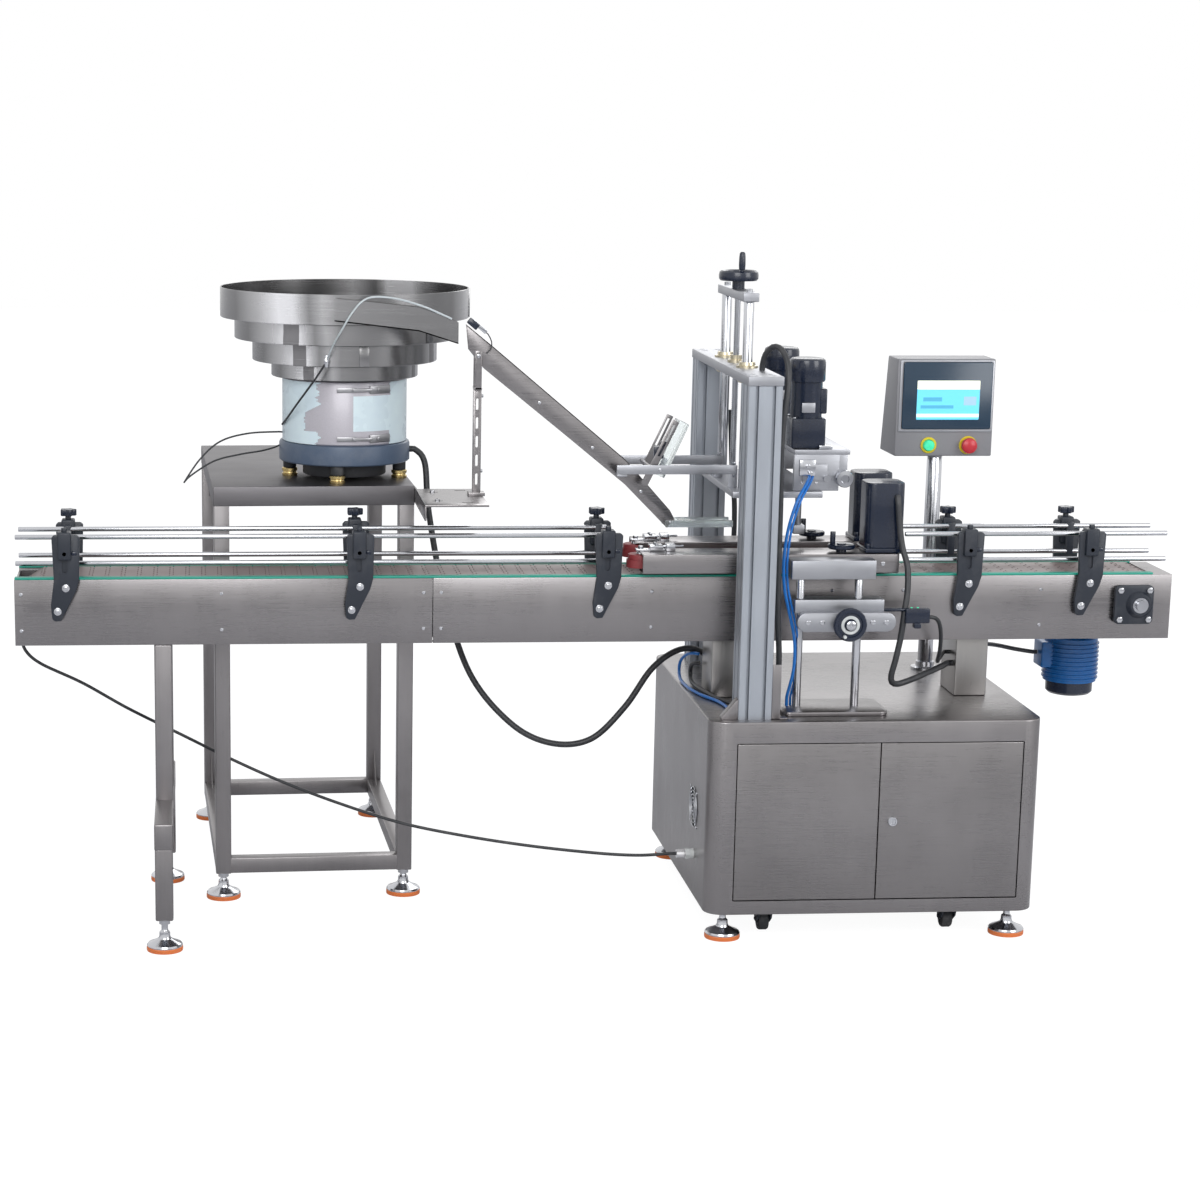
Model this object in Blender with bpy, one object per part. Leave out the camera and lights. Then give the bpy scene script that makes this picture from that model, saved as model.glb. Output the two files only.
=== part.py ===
"""Automatic capping machine: slat-chain conveyor, cabinet, lift gantry with capping head,
bottle-gripping belts, vibratory cap feeder on its own stand, cap chute and operator panel.

Units are metres. X runs along the conveyor towards the outfeed, Y runs from the operator's side
to the back, Z is up and 0 is the floor. All parts hang from one empty, whose own Y places the
conveyor's centre line so that the whole machine stands centred on the origin.
"""

import math

import bmesh
import bpy
from mathutils import Matrix, Vector

# Driving dimensions -------------------------------------------------------------------------
GAP = 0.0003            # between faces that touch
RUN = 0.0006            # radial clearance of a turning or sliding shaft
LINE_Y = -0.323         # conveyor centre line, from the middle of the machine's depth

CONVEYOR_LENGTH = 2.80
CONVEYOR_WIDTH = 0.192  # over the side panels
PANEL_WALL = 0.004
PANEL_TOP = 0.850
PANEL_HEIGHT = 0.158
CHAIN_WIDTH = 0.150
CHAIN_THICKNESS = 0.006
CHAIN_RADIUS = 0.076    # outside of the chain round a sprocket
CHAIN_PROUD = 0.004     # chain above the panels
SHAFT_RADIUS = 0.0125
DRIVE_INSET = 0.083     # shaft centre from the conveyor's end

RAIL_RADIUS = 0.006
RAIL_OFFSET = 0.062     # rail rods from the centre line
RAIL_HEIGHTS = (0.884, 0.947)
ARM_THICKNESS = 0.014
ARM_TOP = 0.958
ARM_FOOT = 0.752
STUB_HEIGHT = 0.915
INFEED_ARMS = (-1.280, -0.585, 0.010)
OUTFEED_ARMS = (0.890, 1.190)
RAIL_END_INFEED = 0.030
RAIL_START_OUTFEED = 0.742

LEG_X = -1.052
LEG_TUBE = 0.044
LEG_POST_Y = 0.070
LEG_BEAM_HALF = 0.325
LEG_BEAM_TOP = 0.310
LEG_BEAM_HEIGHT = 0.064
FOOT_RADIUS = 0.043
FOOT_HEIGHT = 0.030
STUD_RADIUS = 0.008

CABINET_LEFT = 0.232
CABINET_WIDTH = 0.801
CABINET_FRONT = -0.320
CABINET_DEPTH = 0.842
CABINET_BOTTOM = 0.069
CABINET_HEIGHT = 0.471
CABINET_WALL = 0.004
CABINET_CORNER = 0.045
DOOR_MARGIN_SIDE = 0.066
DOOR_MARGIN_TOP = 0.053
DOOR_MARGIN_BOTTOM = 0.036
DOOR_THICKNESS = 0.018
DOOR_GAP = 0.002
LOCK_RADIUS = 0.012
FAN_Y = -0.128
FAN_Z = 0.289
FAN_RADIUS = 0.048
GLAND_Y = -0.136
GLAND_Z = 0.173
GLAND_LENGTH = 0.042
CASTER_RADIUS = 0.028
CASTER_TRAIL = 0.022

PROFILE = 0.080         # square aluminium profile of the columns
COLUMN_X = 0.341
FRONT_COLUMN_Y = -0.252
REAR_COLUMN_Y = 0.414
GANTRY_UNDERSIDE = 1.327
PLATE_THICKNESS = 0.022
GUIDE_Y = (-0.059, 0.221)
GUIDE_RADIUS = 0.0125
SCREW_RADIUS = 0.008
CARRIAGE_TOP = 1.060
CARRIAGE_THICKNESS = 0.015
TOP_BAR_UNDERSIDE = 1.505
TOP_BAR_HEIGHT = 0.021
HANDWHEEL_RADIUS = 0.048
ARM_BAR_Y = (-0.050, 0.140)
ARM_BAR_STARTS = (0.035, 0.073)
CAP_WHEEL_X = 0.410
CAP_WHEEL_RADIUS = 0.030
CAP_WHEEL_Z = 0.935
HEAD_X = (0.4503, 0.585)
HEAD_MOTOR_X = 0.487
HEAD_MOTOR_Y = (-0.060, 0.240)
HEAD_MOTOR_RADIUS = 0.041
HEAD_PLATE_Z = 1.147
HEAD_MOTOR_TOP = 1.373

GRIP_LANE = 0.048       # half the lane between the gripping belts, opened fully
GRIP_DEPTH = 0.102
GRIP_BOTTOM = 0.866
GRIP_TOP = 0.912
FRONT_GRIP_X = (0.088, 0.708)
REAR_GRIP_X = (0.100, 0.725)
GRIP_MOTOR_X = (0.675, 0.690)
GRIP_MOTOR_RADIUS = 0.046
GRIP_MOTOR_TOP = 1.081
PULLEY_RADIUS = 0.028
DIAL_X = 0.567
DIAL_Z = 0.762
DIAL_RADIUS = 0.040

STAND_CENTRE = (-0.697, 0.542)
STAND_TURN = math.radians(1.97)
STAND_WIDTH = 0.454     # between leg centres
STAND_DEPTH = 0.797
STAND_TUBE = 0.040
TABLE_TOP = 1.041
TABLE_SKIRT = 0.048
STAND_RAIL_Z = 0.085
FEEDER_X = -0.600
FEEDER_Y = 0.310
BASE_RADIUS = 0.163
DRUM_RADIUS = 0.154
BASE_BOTTOM = 1.085
BASE_HEIGHT = 0.050
BOWL_BOTTOM = 1.295
BOWL_TIERS = ((0.182, 1.334), (0.229, 1.388), (0.273, 1.440), (0.308, 1.512))
BOWL_WALL = 0.004
CHUTE_HALF = 0.016
CHUTE_WALL = 0.0025
CHUTE_PIVOT = (-0.298, 1.372)

PANEL_POST = (0.903, 0.300)
PANEL_POST_RADIUS = 0.019
HMI_LEFT = 0.785
HMI_WIDTH = 0.250
HMI_FRONT = 0.250
HMI_BOTTOM = 1.097
HMI_TOP = 1.342
BUTTON_Z = 1.125
START_X = 0.872
STOP_X = 0.973
BUTTON_RADIUS = 0.0135

LEAD_RADIUS = 0.004
CONDUIT_RADIUS = 0.008

HALF_LENGTH = CONVEYOR_LENGTH / 2
HALF_WIDTH = CONVEYOR_WIDTH / 2
PANEL_BOTTOM = PANEL_TOP - PANEL_HEIGHT
CHAIN_TOP = PANEL_TOP + CHAIN_PROUD
SHAFT_Z = CHAIN_TOP - CHAIN_RADIUS
SHAFT_X = HALF_LENGTH - DRIVE_INSET
CABINET_RIGHT = CABINET_LEFT + CABINET_WIDTH
CABINET_BACK = CABINET_FRONT + CABINET_DEPTH
CABINET_TOP = CABINET_BOTTOM + CABINET_HEIGHT
DECK = CABINET_TOP + GAP
GANTRY_TOP = GANTRY_UNDERSIDE + PLATE_THICKNESS
GUIDE_MIDDLE = (GUIDE_Y[0] + GUIDE_Y[1]) / 2

for old in list(bpy.data.objects):
    bpy.data.objects.remove(old, do_unlink=True)


# Finishes -----------------------------------------------------------------------------------
def finish(name, colour, roughness, metallic):
    """A plain material of one colour."""
    material = bpy.data.materials.new(name)
    material.use_nodes = True
    shader = material.node_tree.nodes["Principled BSDF"]
    shader.inputs["Base Color"].default_value = (*colour, 1)
    shader.inputs["Roughness"].default_value = roughness
    shader.inputs["Metallic"].default_value = metallic
    return material


STAINLESS = finish("stainless", (0.62, 0.60, 0.58), 0.35, 1.0)
ALUMINIUM = finish("aluminium", (0.75, 0.76, 0.80), 0.40, 1.0)
CHROME = finish("chrome", (0.85, 0.85, 0.87), 0.12, 1.0)
SLATS = finish("slats", (0.45, 0.38, 0.33), 0.55, 0.0)
BLACK = finish("black_plastic", (0.03, 0.035, 0.045), 0.45, 0.0)
RUBBER = finish("rubber", (0.04, 0.04, 0.04), 0.80, 0.0)
BLUE = finish("blue_paint", (0.02, 0.15, 0.40), 0.35, 0.0)
DRUM_FILM = finish("drum_film", (0.60, 0.72, 0.80), 0.40, 0.0)
GREY = finish("grey_paint", (0.45, 0.44, 0.44), 0.45, 0.0)
GREEN = finish("green_button", (0.05, 0.80, 0.40), 0.30, 0.0)
RED = finish("red_button", (0.75, 0.08, 0.10), 0.35, 0.0)


# Shape helpers: each returns a bmesh in the machine's own coordinates ------------------------
def prism(axis, outline, start, end):
    """The outline, extruded along an axis: (y, z) on X, (x, z) on Y or (x, y) on Z."""
    place = {
        "X": lambda a, b: (start, a, b),
        "Y": lambda a, b: (a, start, b),
        "Z": lambda a, b: (a, b, start),
    }[axis]
    shape = bmesh.new()
    face = shape.faces.new([shape.verts.new(place(a, b)) for a, b in outline])
    made = bmesh.ops.extrude_face_region(shape, geom=[face])
    moved = [item for item in made["geom"] if isinstance(item, bmesh.types.BMVert)]
    along = Vector([float(axis == name) for name in "XYZ"]) * (end - start)
    bmesh.ops.translate(shape, verts=moved, vec=along)
    bmesh.ops.recalc_face_normals(shape, faces=shape.faces)
    return shape


def box(x, y, z):
    """A block from three (low, high) pairs."""
    return prism("Z", [(x[0], y[0]), (x[1], y[0]), (x[1], y[1]), (x[0], y[1])], z[0], z[1])


def circle(centre, radius, sides):
    """Points of a regular polygon that has a corner on each axis direction."""
    turns = [2 * math.pi * i / sides for i in range(sides)]
    return [(centre[0] + radius * math.cos(t), centre[1] + radius * math.sin(t)) for t in turns]


def rod(axis, centre, radius, start, end, sides=16):
    return prism(axis, circle(centre, radius, sides), start, end)


def turned(centre, profile, sides):
    """A profile of (radius, z) points spun about a vertical line; it starts and ends on the axis."""
    shape = bmesh.new()
    rings = []
    for radius, z in profile:
        if radius == 0:
            rings.append([shape.verts.new((centre[0], centre[1], z))] * sides)
        else:
            rings.append([shape.verts.new((x, y, z)) for x, y in circle(centre, radius, sides)])
    for low, high in zip(rings, rings[1:]):
        for i in range(sides):
            j = (i + 1) % sides
            corners = [low[i], low[j], high[j], high[i]]
            shape.faces.new(list(dict.fromkeys(corners)))
    bmesh.ops.recalc_face_normals(shape, faces=shape.faces)
    return shape


def rounded(x, y, radius, steps=4):
    """A rectangle's outline with quarter circles at its corners."""
    corners = ((x[1], y[1], 0), (x[0], y[1], 1), (x[0], y[0], 2), (x[1], y[0], 3))
    outline = []
    for px, py, quarter in corners:
        cx = px - radius if px == x[1] else px + radius
        cy = py - radius if py == y[1] else py + radius
        for i in range(steps + 1):
            turn = math.pi / 2 * (quarter + i / steps)
            outline.append((cx + radius * math.cos(turn), cy + radius * math.sin(turn)))
    return outline


def joined(*shapes):
    """Several closed shapes in one bmesh, as the tools of one Boolean."""
    together = bmesh.new()
    for shape in shapes:
        mesh = bpy.data.meshes.new("joining")
        shape.to_mesh(mesh)
        together.from_mesh(mesh)
        bpy.data.meshes.remove(mesh)
    return together


# Objects ------------------------------------------------------------------------------------
def empty(name, location, parent=None):
    """A pivot; its location is given in its parent's coordinates."""
    pivot = bpy.data.objects.new(name, None)
    pivot.location = location
    pivot.parent = parent
    bpy.context.scene.collection.objects.link(pivot)
    return pivot


machine = empty("machine", (0, LINE_Y, 0))


def origin_of(pivot):
    """A pivot's place in the machine's coordinates."""
    place = Vector((0, 0, 0))
    while pivot is not machine:
        place += pivot.location
        pivot = pivot.parent
    return place


def pivot_at(name, location, parent=machine):
    """A joint's empty, whose location is given in the machine's coordinates."""
    return empty(name, Vector(location) - origin_of(parent), parent)


def mesh_object(name, shape, pivot):
    bmesh.ops.translate(shape, verts=shape.verts, vec=-origin_of(pivot))
    mesh = bpy.data.meshes.new(name)
    shape.to_mesh(mesh)
    shape.free()
    made = bpy.data.objects.new(name, mesh)
    made.parent = pivot
    bpy.context.scene.collection.objects.link(made)
    return made


def part(name, material, shape, pivot=machine, smooth=True):
    """A finished part from one shape."""
    made = mesh_object(name, shape, pivot)
    made.data.materials.append(material)
    if smooth:
        made.data.shade_smooth()
        made.data.set_sharp_from_angle(angle=math.radians(35))
    return made


def combine(target, operation, shape):
    """Adds or cuts a shape with a Boolean whose tool stays in the scene, hidden."""
    tool = mesh_object(f"{target.name}_tool_{len(target.modifiers)}", shape, target.parent)
    tool.hide_render = True
    tool.display_type = "WIRE"
    step = target.modifiers.new(operation.lower(), "BOOLEAN")
    step.operation = operation
    step.object = tool


def add(target, *shapes):
    for shape in shapes:
        combine(target, "UNION", shape)


def cut(target, *shapes):
    for shape in shapes:
        combine(target, "DIFFERENCE", shape)


def foot(x, y, top, sides=16):
    """A levelling foot: a round pad, a cone and a stud that runs up to the given height."""
    profile = [
        (0, 0), (FOOT_RADIUS, 0), (FOOT_RADIUS, 0.012), (0.016, FOOT_HEIGHT),
        (STUD_RADIUS, FOOT_HEIGHT), (STUD_RADIUS, top), (0, top),
    ]
    return turned((x, y), profile, sides)


# Conveyor -----------------------------------------------------------------------------------
def arm(x, side):
    """A guide-rail bracket arm on the outside of a side panel; side is -1 at the front."""
    outline = [
        (x - 0.035, ARM_FOOT + 0.03), (x - 0.030, ARM_FOOT), (x - 0.006, ARM_FOOT),
        (x + 0.030, ARM_FOOT + 0.083), (x + 0.036, ARM_TOP), (x - 0.030, ARM_TOP),
    ]
    inner = side * (HALF_WIDTH - PANEL_WALL / 2)
    return prism("Y", outline, inner, side * (HALF_WIDTH + ARM_THICKNESS))


def stub_hole(x, side):
    outer = side * (HALF_WIDTH + 0.03)
    return rod("Y", (x, STUB_HEIGHT), RAIL_RADIUS + RUN, side * (HALF_WIDTH - 0.03), outer, 12)


def side_panel(name, side):
    """A side panel, folded inwards along its lower edge, with its five bracket arms."""
    outer, inner = side * HALF_WIDTH, side * (HALF_WIDTH - PANEL_WALL)
    lip = side * (HALF_WIDTH - 0.018)
    outline = [
        (outer, PANEL_TOP), (inner, PANEL_TOP), (inner, PANEL_BOTTOM + PANEL_WALL),
        (lip, PANEL_BOTTOM + PANEL_WALL), (lip, PANEL_BOTTOM), (outer, PANEL_BOTTOM),
    ]
    panel = part(name, STAINLESS, prism("X", outline, -HALF_LENGTH, HALF_LENGTH))
    arms = INFEED_ARMS + OUTFEED_ARMS
    add(panel, joined(*[arm(x, side) for x in arms]))
    cut(panel, joined(*[stub_hole(x, side) for x in arms]))
    hole = SHAFT_RADIUS + RUN
    cut(panel, rod("Y", (SHAFT_X, SHAFT_Z), hole, side * (HALF_WIDTH - 0.02), side * 0.12, 24))
    return panel


side_panel("front_side_panel", -1)
rear_panel = side_panel("rear_side_panel", 1)
GRIP_REST_X = (0.300, 0.500)
add(
    rear_panel,
    box(GRIP_REST_X, (HALF_WIDTH - 0.002, 0.140), (0.800, 0.820)),
    box(GRIP_REST_X, (0.110, 0.140), (0.815, GRIP_BOTTOM - GAP)),
)


def conveyor_bed():
    """Slide plate under the carrying run, cross bars between the panels and the end cover."""
    inside = HALF_WIDTH - PANEL_WALL - GAP
    under_chain = CHAIN_TOP - CHAIN_THICKNESS - 0.001
    reach = SHAFT_X - CHAIN_RADIUS - 0.01
    plate = box((-reach, reach), (-0.060, 0.060), (under_chain - 0.006, under_chain))
    bed = part("conveyor_bed", STAINLESS, plate)
    bars = [x for x in (-1.15, -0.40, 0.15, 0.62, 1.12)]
    top = under_chain - 0.003
    add(bed, joined(*[box((x - 0.015, x + 0.015), (-inside, inside), (0.805, top)) for x in bars]))
    side = (CHAIN_WIDTH / 2 + 0.004, inside)
    strips = []
    for start, end in ((-HALF_LENGTH, -1.14), (1.11, HALF_LENGTH)):
        for low, high in (side, (-side[1], -side[0])):
            strips.append(box((start, end), (low, high), (0.812, 0.842)))
    add(bed, joined(*strips))
    cover = [
        (HALF_LENGTH - 0.047, PANEL_TOP), (HALF_LENGTH - 0.047, PANEL_TOP - 0.003),
        (HALF_LENGTH - 0.004, PANEL_TOP - 0.014), (HALF_LENGTH - 0.004, 0.720),
        (HALF_LENGTH, 0.720), (HALF_LENGTH, PANEL_TOP),
    ]
    add(bed, prism("Y", cover, -inside, inside))
    tail = box((-HALF_LENGTH, 0.005 - HALF_LENGTH), (-inside, inside), (0.710, 0.842))
    clip = box((0.002 - HALF_LENGTH, LEAD_CLIP_X + 0.008), (0.015, 0.045), (LEAD_CLIP_Z, 0.730))
    add(bed, tail)
    add(bed, clip)
    return bed


LEAD_CLIP_X = -1.390
LEAD_CLIP_Z = 0.700
conveyor_bed()


def loop(radius):
    """A stadium outline round the two shafts."""
    outline = []
    for x, start in ((SHAFT_X, -90), (-SHAFT_X, 90)):
        for i in range(13):
            turn = math.radians(start + 15 * i)
            outline.append((x + radius * math.cos(turn), SHAFT_Z + radius * math.sin(turn)))
    return outline


chain = part("slat_chain", SLATS, prism("Y", loop(CHAIN_RADIUS), -CHAIN_WIDTH / 2, CHAIN_WIDTH / 2))
cut(chain, prism("Y", loop(CHAIN_RADIUS - CHAIN_THICKNESS), -CHAIN_WIDTH, CHAIN_WIDTH))

FRONT_SHAFT_END = -0.134
REDUCER_DEPTH = 0.095
drive_pivot = pivot_at("drive_axis", (SHAFT_X, 0, SHAFT_Z))
drive = part(
    "drive_shaft", CHROME,
    rod("Y", (SHAFT_X, SHAFT_Z), SHAFT_RADIUS, FRONT_SHAFT_END, HALF_WIDTH + REDUCER_DEPTH + 0.012, 24),
    drive_pivot,
)
SPROCKET_RADIUS = CHAIN_RADIUS - CHAIN_THICKNESS - RUN
add(drive, rod("Y", (SHAFT_X, SHAFT_Z), SPROCKET_RADIUS, -0.030, 0.030, 24))
idler_pivot = pivot_at("idler_axis", (-SHAFT_X, 0, SHAFT_Z))
idler_reach = HALF_WIDTH - PANEL_WALL - GAP
idler = part(
    "idler_shaft", CHROME,
    rod("Y", (-SHAFT_X, SHAFT_Z), SHAFT_RADIUS, -idler_reach, idler_reach, 24), idler_pivot,
)
add(idler, rod("Y", (-SHAFT_X, SHAFT_Z), SPROCKET_RADIUS, -0.030, 0.030, 24))

BEARING_HALF = 0.048
BEARING_FACE = -HALF_WIDTH - GAP
bearing = part(
    "drive_bearing", BLACK,
    box(
        (SHAFT_X - 0.012 - BEARING_HALF, SHAFT_X - 0.012 + BEARING_HALF),
        (BEARING_FACE - 0.014, BEARING_FACE), (SHAFT_Z - BEARING_HALF, SHAFT_Z + BEARING_HALF),
    ),
)
add(bearing, rod("Y", (SHAFT_X, SHAFT_Z), 0.032, BEARING_FACE - 0.026, BEARING_FACE - 0.004, 24))
cut(bearing, rod("Y", (SHAFT_X, SHAFT_Z), SHAFT_RADIUS + RUN, -0.2, -0.05, 24))

MOTOR_X = SHAFT_X - 0.080
MOTOR_Y = HALF_WIDTH + 0.052
MOTOR_RADIUS = 0.070
MOTOR_BOTTOM = 0.505
REDUCER_FACE = HALF_WIDTH + GAP
gearmotor = part(
    "gearmotor", BLUE,
    box((MOTOR_X - 0.006, SHAFT_X + 0.068), (REDUCER_FACE, REDUCER_FACE + REDUCER_DEPTH),
        (0.700, PANEL_TOP - 0.010)),
)
add(
    gearmotor,
    rod("Z", (MOTOR_X, MOTOR_Y), 0.050, 0.640, 0.705, 24),
    rod("Z", (MOTOR_X, MOTOR_Y), MOTOR_RADIUS, MOTOR_BOTTOM + 0.045, 0.655, 24),
    rod("Z", (MOTOR_X, MOTOR_Y), MOTOR_RADIUS - 0.012, MOTOR_BOTTOM, MOTOR_BOTTOM + 0.055, 24),
    box((MOTOR_X - 0.085, MOTOR_X - 0.05), (MOTOR_Y - 0.035, MOTOR_Y + 0.035), (0.575, 0.645)),
)
cut(gearmotor, rod("Y", (SHAFT_X, SHAFT_Z), SHAFT_RADIUS + RUN, 0.05, 0.30, 24))


def conveyor_leg():
    """Two posts on a cross beam, which stands on two short posts with levelling feet."""
    half = LEG_TUBE / 2
    across = (LEG_X - half, LEG_X + half)
    beam_bottom = LEG_BEAM_TOP - LEG_BEAM_HEIGHT
    beam = box(across, (-LEG_BEAM_HALF, LEG_BEAM_HALF), (beam_bottom, LEG_BEAM_TOP))
    leg = part("conveyor_leg", STAINLESS, beam)
    inset = 0.001
    slim = (across[0] + inset, across[1] - inset)
    shapes = []
    for side in (-1, 1):
        y = side * LEG_POST_Y
        post = box(slim, (y - half, y + half), (LEG_BEAM_TOP - 0.004, PANEL_BOTTOM - GAP))
        end = side * (LEG_BEAM_HALF - inset)
        low, high = sorted((end, end - side * LEG_TUBE))
        lower = box(slim, (low, high), (LEG_LOWER_END, beam_bottom + 0.004))
        shapes += [post, lower, foot(LEG_X, (low + high) / 2, LEG_LOWER_END + 0.004)]
    for shape in shapes:
        add(leg, shape)


LEG_LOWER_END = 0.075
conveyor_leg()


def guide_rail(name, side, arms, start, end):
    """Two rods, tied by a post at each bracket, whose stub slides in the bracket's hole."""
    pivot = pivot_at(f"{name}_axis", (sum(arms) / len(arms), side * RAIL_OFFSET, STUB_HEIGHT))
    y = side * RAIL_OFFSET
    rods = [rod("X", (y, z), RAIL_RADIUS, start, end, 12) for z in RAIL_HEIGHTS]
    rail = part(name, STAINLESS, rods[0], pivot)
    add(rail, rods[1])
    low, high = RAIL_HEIGHTS[0] - 0.004, RAIL_HEIGHTS[1] + 0.004
    posts = [box((x - 0.007, x + 0.007), (y - 0.004, y + 0.004), (low, high)) for x in arms]
    add(rail, joined(*posts))
    tip = side * (HALF_WIDTH + ARM_THICKNESS + 0.012)
    stubs = [rod("Y", (x, STUB_HEIGHT), RAIL_RADIUS, y, tip, 12) for x in arms]
    add(rail, joined(*stubs))


for side, word in ((-1, "front"), (1, "rear")):
    guide_rail(f"infeed_{word}_rail", side, INFEED_ARMS, 0.002 - HALF_LENGTH, RAIL_END_INFEED)
    guide_rail(f"outfeed_{word}_rail", side, OUTFEED_ARMS, RAIL_START_OUTFEED, HALF_LENGTH - 0.008)


# Cabinet ------------------------------------------------------------------------------------
DOOR_LEFT = CABINET_LEFT + DOOR_MARGIN_SIDE
DOOR_RIGHT = CABINET_RIGHT - DOOR_MARGIN_SIDE + 0.018
DOOR_SPLIT = (DOOR_LEFT + DOOR_RIGHT) / 2
DOOR_BOTTOM = CABINET_BOTTOM + DOOR_MARGIN_BOTTOM
DOOR_TOP = CABINET_TOP - DOOR_MARGIN_TOP
LOCK_X = DOOR_SPLIT + 0.034
LOCK_Z = (DOOR_BOTTOM + DOOR_TOP) / 2
FOOT_INSET = 0.052


def cabinet_shell():
    x, y = (CABINET_LEFT, CABINET_RIGHT), (CABINET_FRONT, CABINET_BACK)
    outer = prism("Z", rounded(x, y, CABINET_CORNER), CABINET_BOTTOM, CABINET_TOP)
    shell = part("cabinet_shell", STAINLESS, outer)
    wall = CABINET_WALL
    inside = rounded(
        (x[0] + wall, x[1] - wall), (y[0] + wall, y[1] - wall), CABINET_CORNER - wall)
    cut(shell, prism("Z", inside, CABINET_BOTTOM + wall, CABINET_TOP - wall))
    opening_x = (DOOR_LEFT - DOOR_GAP, DOOR_RIGHT + DOOR_GAP)
    opening_z = (DOOR_BOTTOM - DOOR_GAP, DOOR_TOP + DOOR_GAP)
    cut(shell, box(opening_x, (y[0] - 0.01, y[0] + 0.03), opening_z))
    cut(shell, rod("X", (FAN_Y, FAN_Z), FAN_RADIUS + 0.002, x[0] - 0.01, x[0] + 0.02, 24))
    stop_y = y[0] + DOOR_THICKNESS + GAP
    for edge, side in ((DOOR_LEFT, 1), (DOOR_RIGHT, -1)):
        jamb = [
            (edge - side * 0.012, y[0] + 0.002), (edge - side * 0.003, y[0] + 0.002),
            (edge - side * 0.003, stop_y), (edge + side * 0.012, stop_y),
            (edge + side * 0.012, stop_y + 0.006), (edge - side * 0.012, stop_y + 0.006),
        ]
        add(shell, prism("Z", jamb, DOOR_BOTTOM, DOOR_TOP))
    feet = [
        foot(fx, fy, CABINET_BOTTOM + wall / 2)
        for fx in (x[0] + FOOT_INSET, x[1] - FOOT_INSET)
        for fy in (y[0] + FOOT_INSET, y[1] - FOOT_INSET)
    ]
    add(shell, joined(*feet))
    spider = [
        box((x[0], x[0] + 0.006), (FAN_Y - FAN_RADIUS - 0.006, FAN_Y + FAN_RADIUS + 0.006),
            (FAN_Z - 0.004, FAN_Z + 0.004)),
        box((x[0] + 0.001, x[0] + 0.007), (FAN_Y - 0.004, FAN_Y + 0.004),
            (FAN_Z - FAN_RADIUS - 0.006, FAN_Z + FAN_RADIUS + 0.006)),
        rod("X", (FAN_Y, FAN_Z), 0.012, x[0] + 0.002, x[0] + 0.0095, 16),
    ]
    for shape in spider:
        add(shell, shape)
    return shell


cabinet_shell()
part(
    "cable_gland", CHROME,
    rod("X", (GLAND_Y, GLAND_Z), 0.011, CABINET_LEFT - GLAND_LENGTH, CABINET_LEFT - GAP, 12))

FAN_FACE = CABINET_LEFT + 0.0095 + GAP
fan_pivot = pivot_at("fan_axis", (FAN_FACE, FAN_Y, FAN_Z))
fan = part("fan_rotor", BLACK, rod("X", (FAN_Y, FAN_Z), 0.018, FAN_FACE, FAN_FACE + 0.022, 16), fan_pivot)


def fan_blade(index):
    """A flat blade, pitched about its own root and turned to its place on the hub."""
    middle = FAN_FACE + 0.011
    shape = box((-0.007, 0.007), (-0.0015, 0.0015), (0.010, FAN_RADIUS - 0.006))
    pitch = Matrix.Rotation(0.6, 3, "Z")
    spoke = Matrix.Rotation(2 * math.pi * index / 5, 3, "X")
    bmesh.ops.rotate(shape, verts=shape.verts, cent=(0, 0, 0), matrix=pitch)
    bmesh.ops.rotate(shape, verts=shape.verts, cent=(0, 0, 0), matrix=spoke)
    bmesh.ops.translate(shape, verts=shape.verts, vec=(middle, FAN_Y, FAN_Z))
    return shape


for index in range(5):
    add(fan, fan_blade(index))


def door(name, x, hinge_x):
    """A flat door with folded edges; its hinge axis is on the front outer corner."""
    pivot = pivot_at(f"{name}_hinge", (hinge_x, CABINET_FRONT, (DOOR_BOTTOM + DOOR_TOP) / 2))
    y = (CABINET_FRONT, CABINET_FRONT + DOOR_THICKNESS)
    leaf = part(name, STAINLESS, box(x, y, (DOOR_BOTTOM, DOOR_TOP)), pivot)
    edge = 0.004
    pocket = box((x[0] + edge, x[1] - edge), (y[0] + edge, y[1] + 0.01),
                 (DOOR_BOTTOM + edge, DOOR_TOP - edge))
    cut(leaf, pocket)
    return leaf, pivot


door("left_door", (DOOR_LEFT, DOOR_SPLIT - DOOR_GAP / 2), DOOR_LEFT)
right_door, right_hinge = door("right_door", (DOOR_SPLIT + DOOR_GAP / 2, DOOR_RIGHT), DOOR_RIGHT)
cut(right_door, rod("Y", (LOCK_X, LOCK_Z), 0.009 + RUN, CABINET_FRONT - 0.01, CABINET_FRONT + 0.01, 16))
lock_pivot = pivot_at("lock_axis", (LOCK_X, CABINET_FRONT, LOCK_Z), right_hinge)
lock_face = CABINET_FRONT - GAP
lock = part("door_lock", CHROME, rod("Y", (LOCK_X, LOCK_Z), LOCK_RADIUS, lock_face - 0.006, lock_face, 16),
            lock_pivot)
LOCK_BACK = CABINET_FRONT + DOOR_THICKNESS + 0.004
add(lock, rod("Y", (LOCK_X, LOCK_Z), 0.009, lock_face - 0.002, LOCK_BACK, 16))
add(lock, box((LOCK_X - 0.007, LOCK_X + 0.007), (LOCK_BACK - 0.003, LOCK_BACK), (LOCK_Z - 0.008, LOCK_Z + 0.042)))


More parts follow.
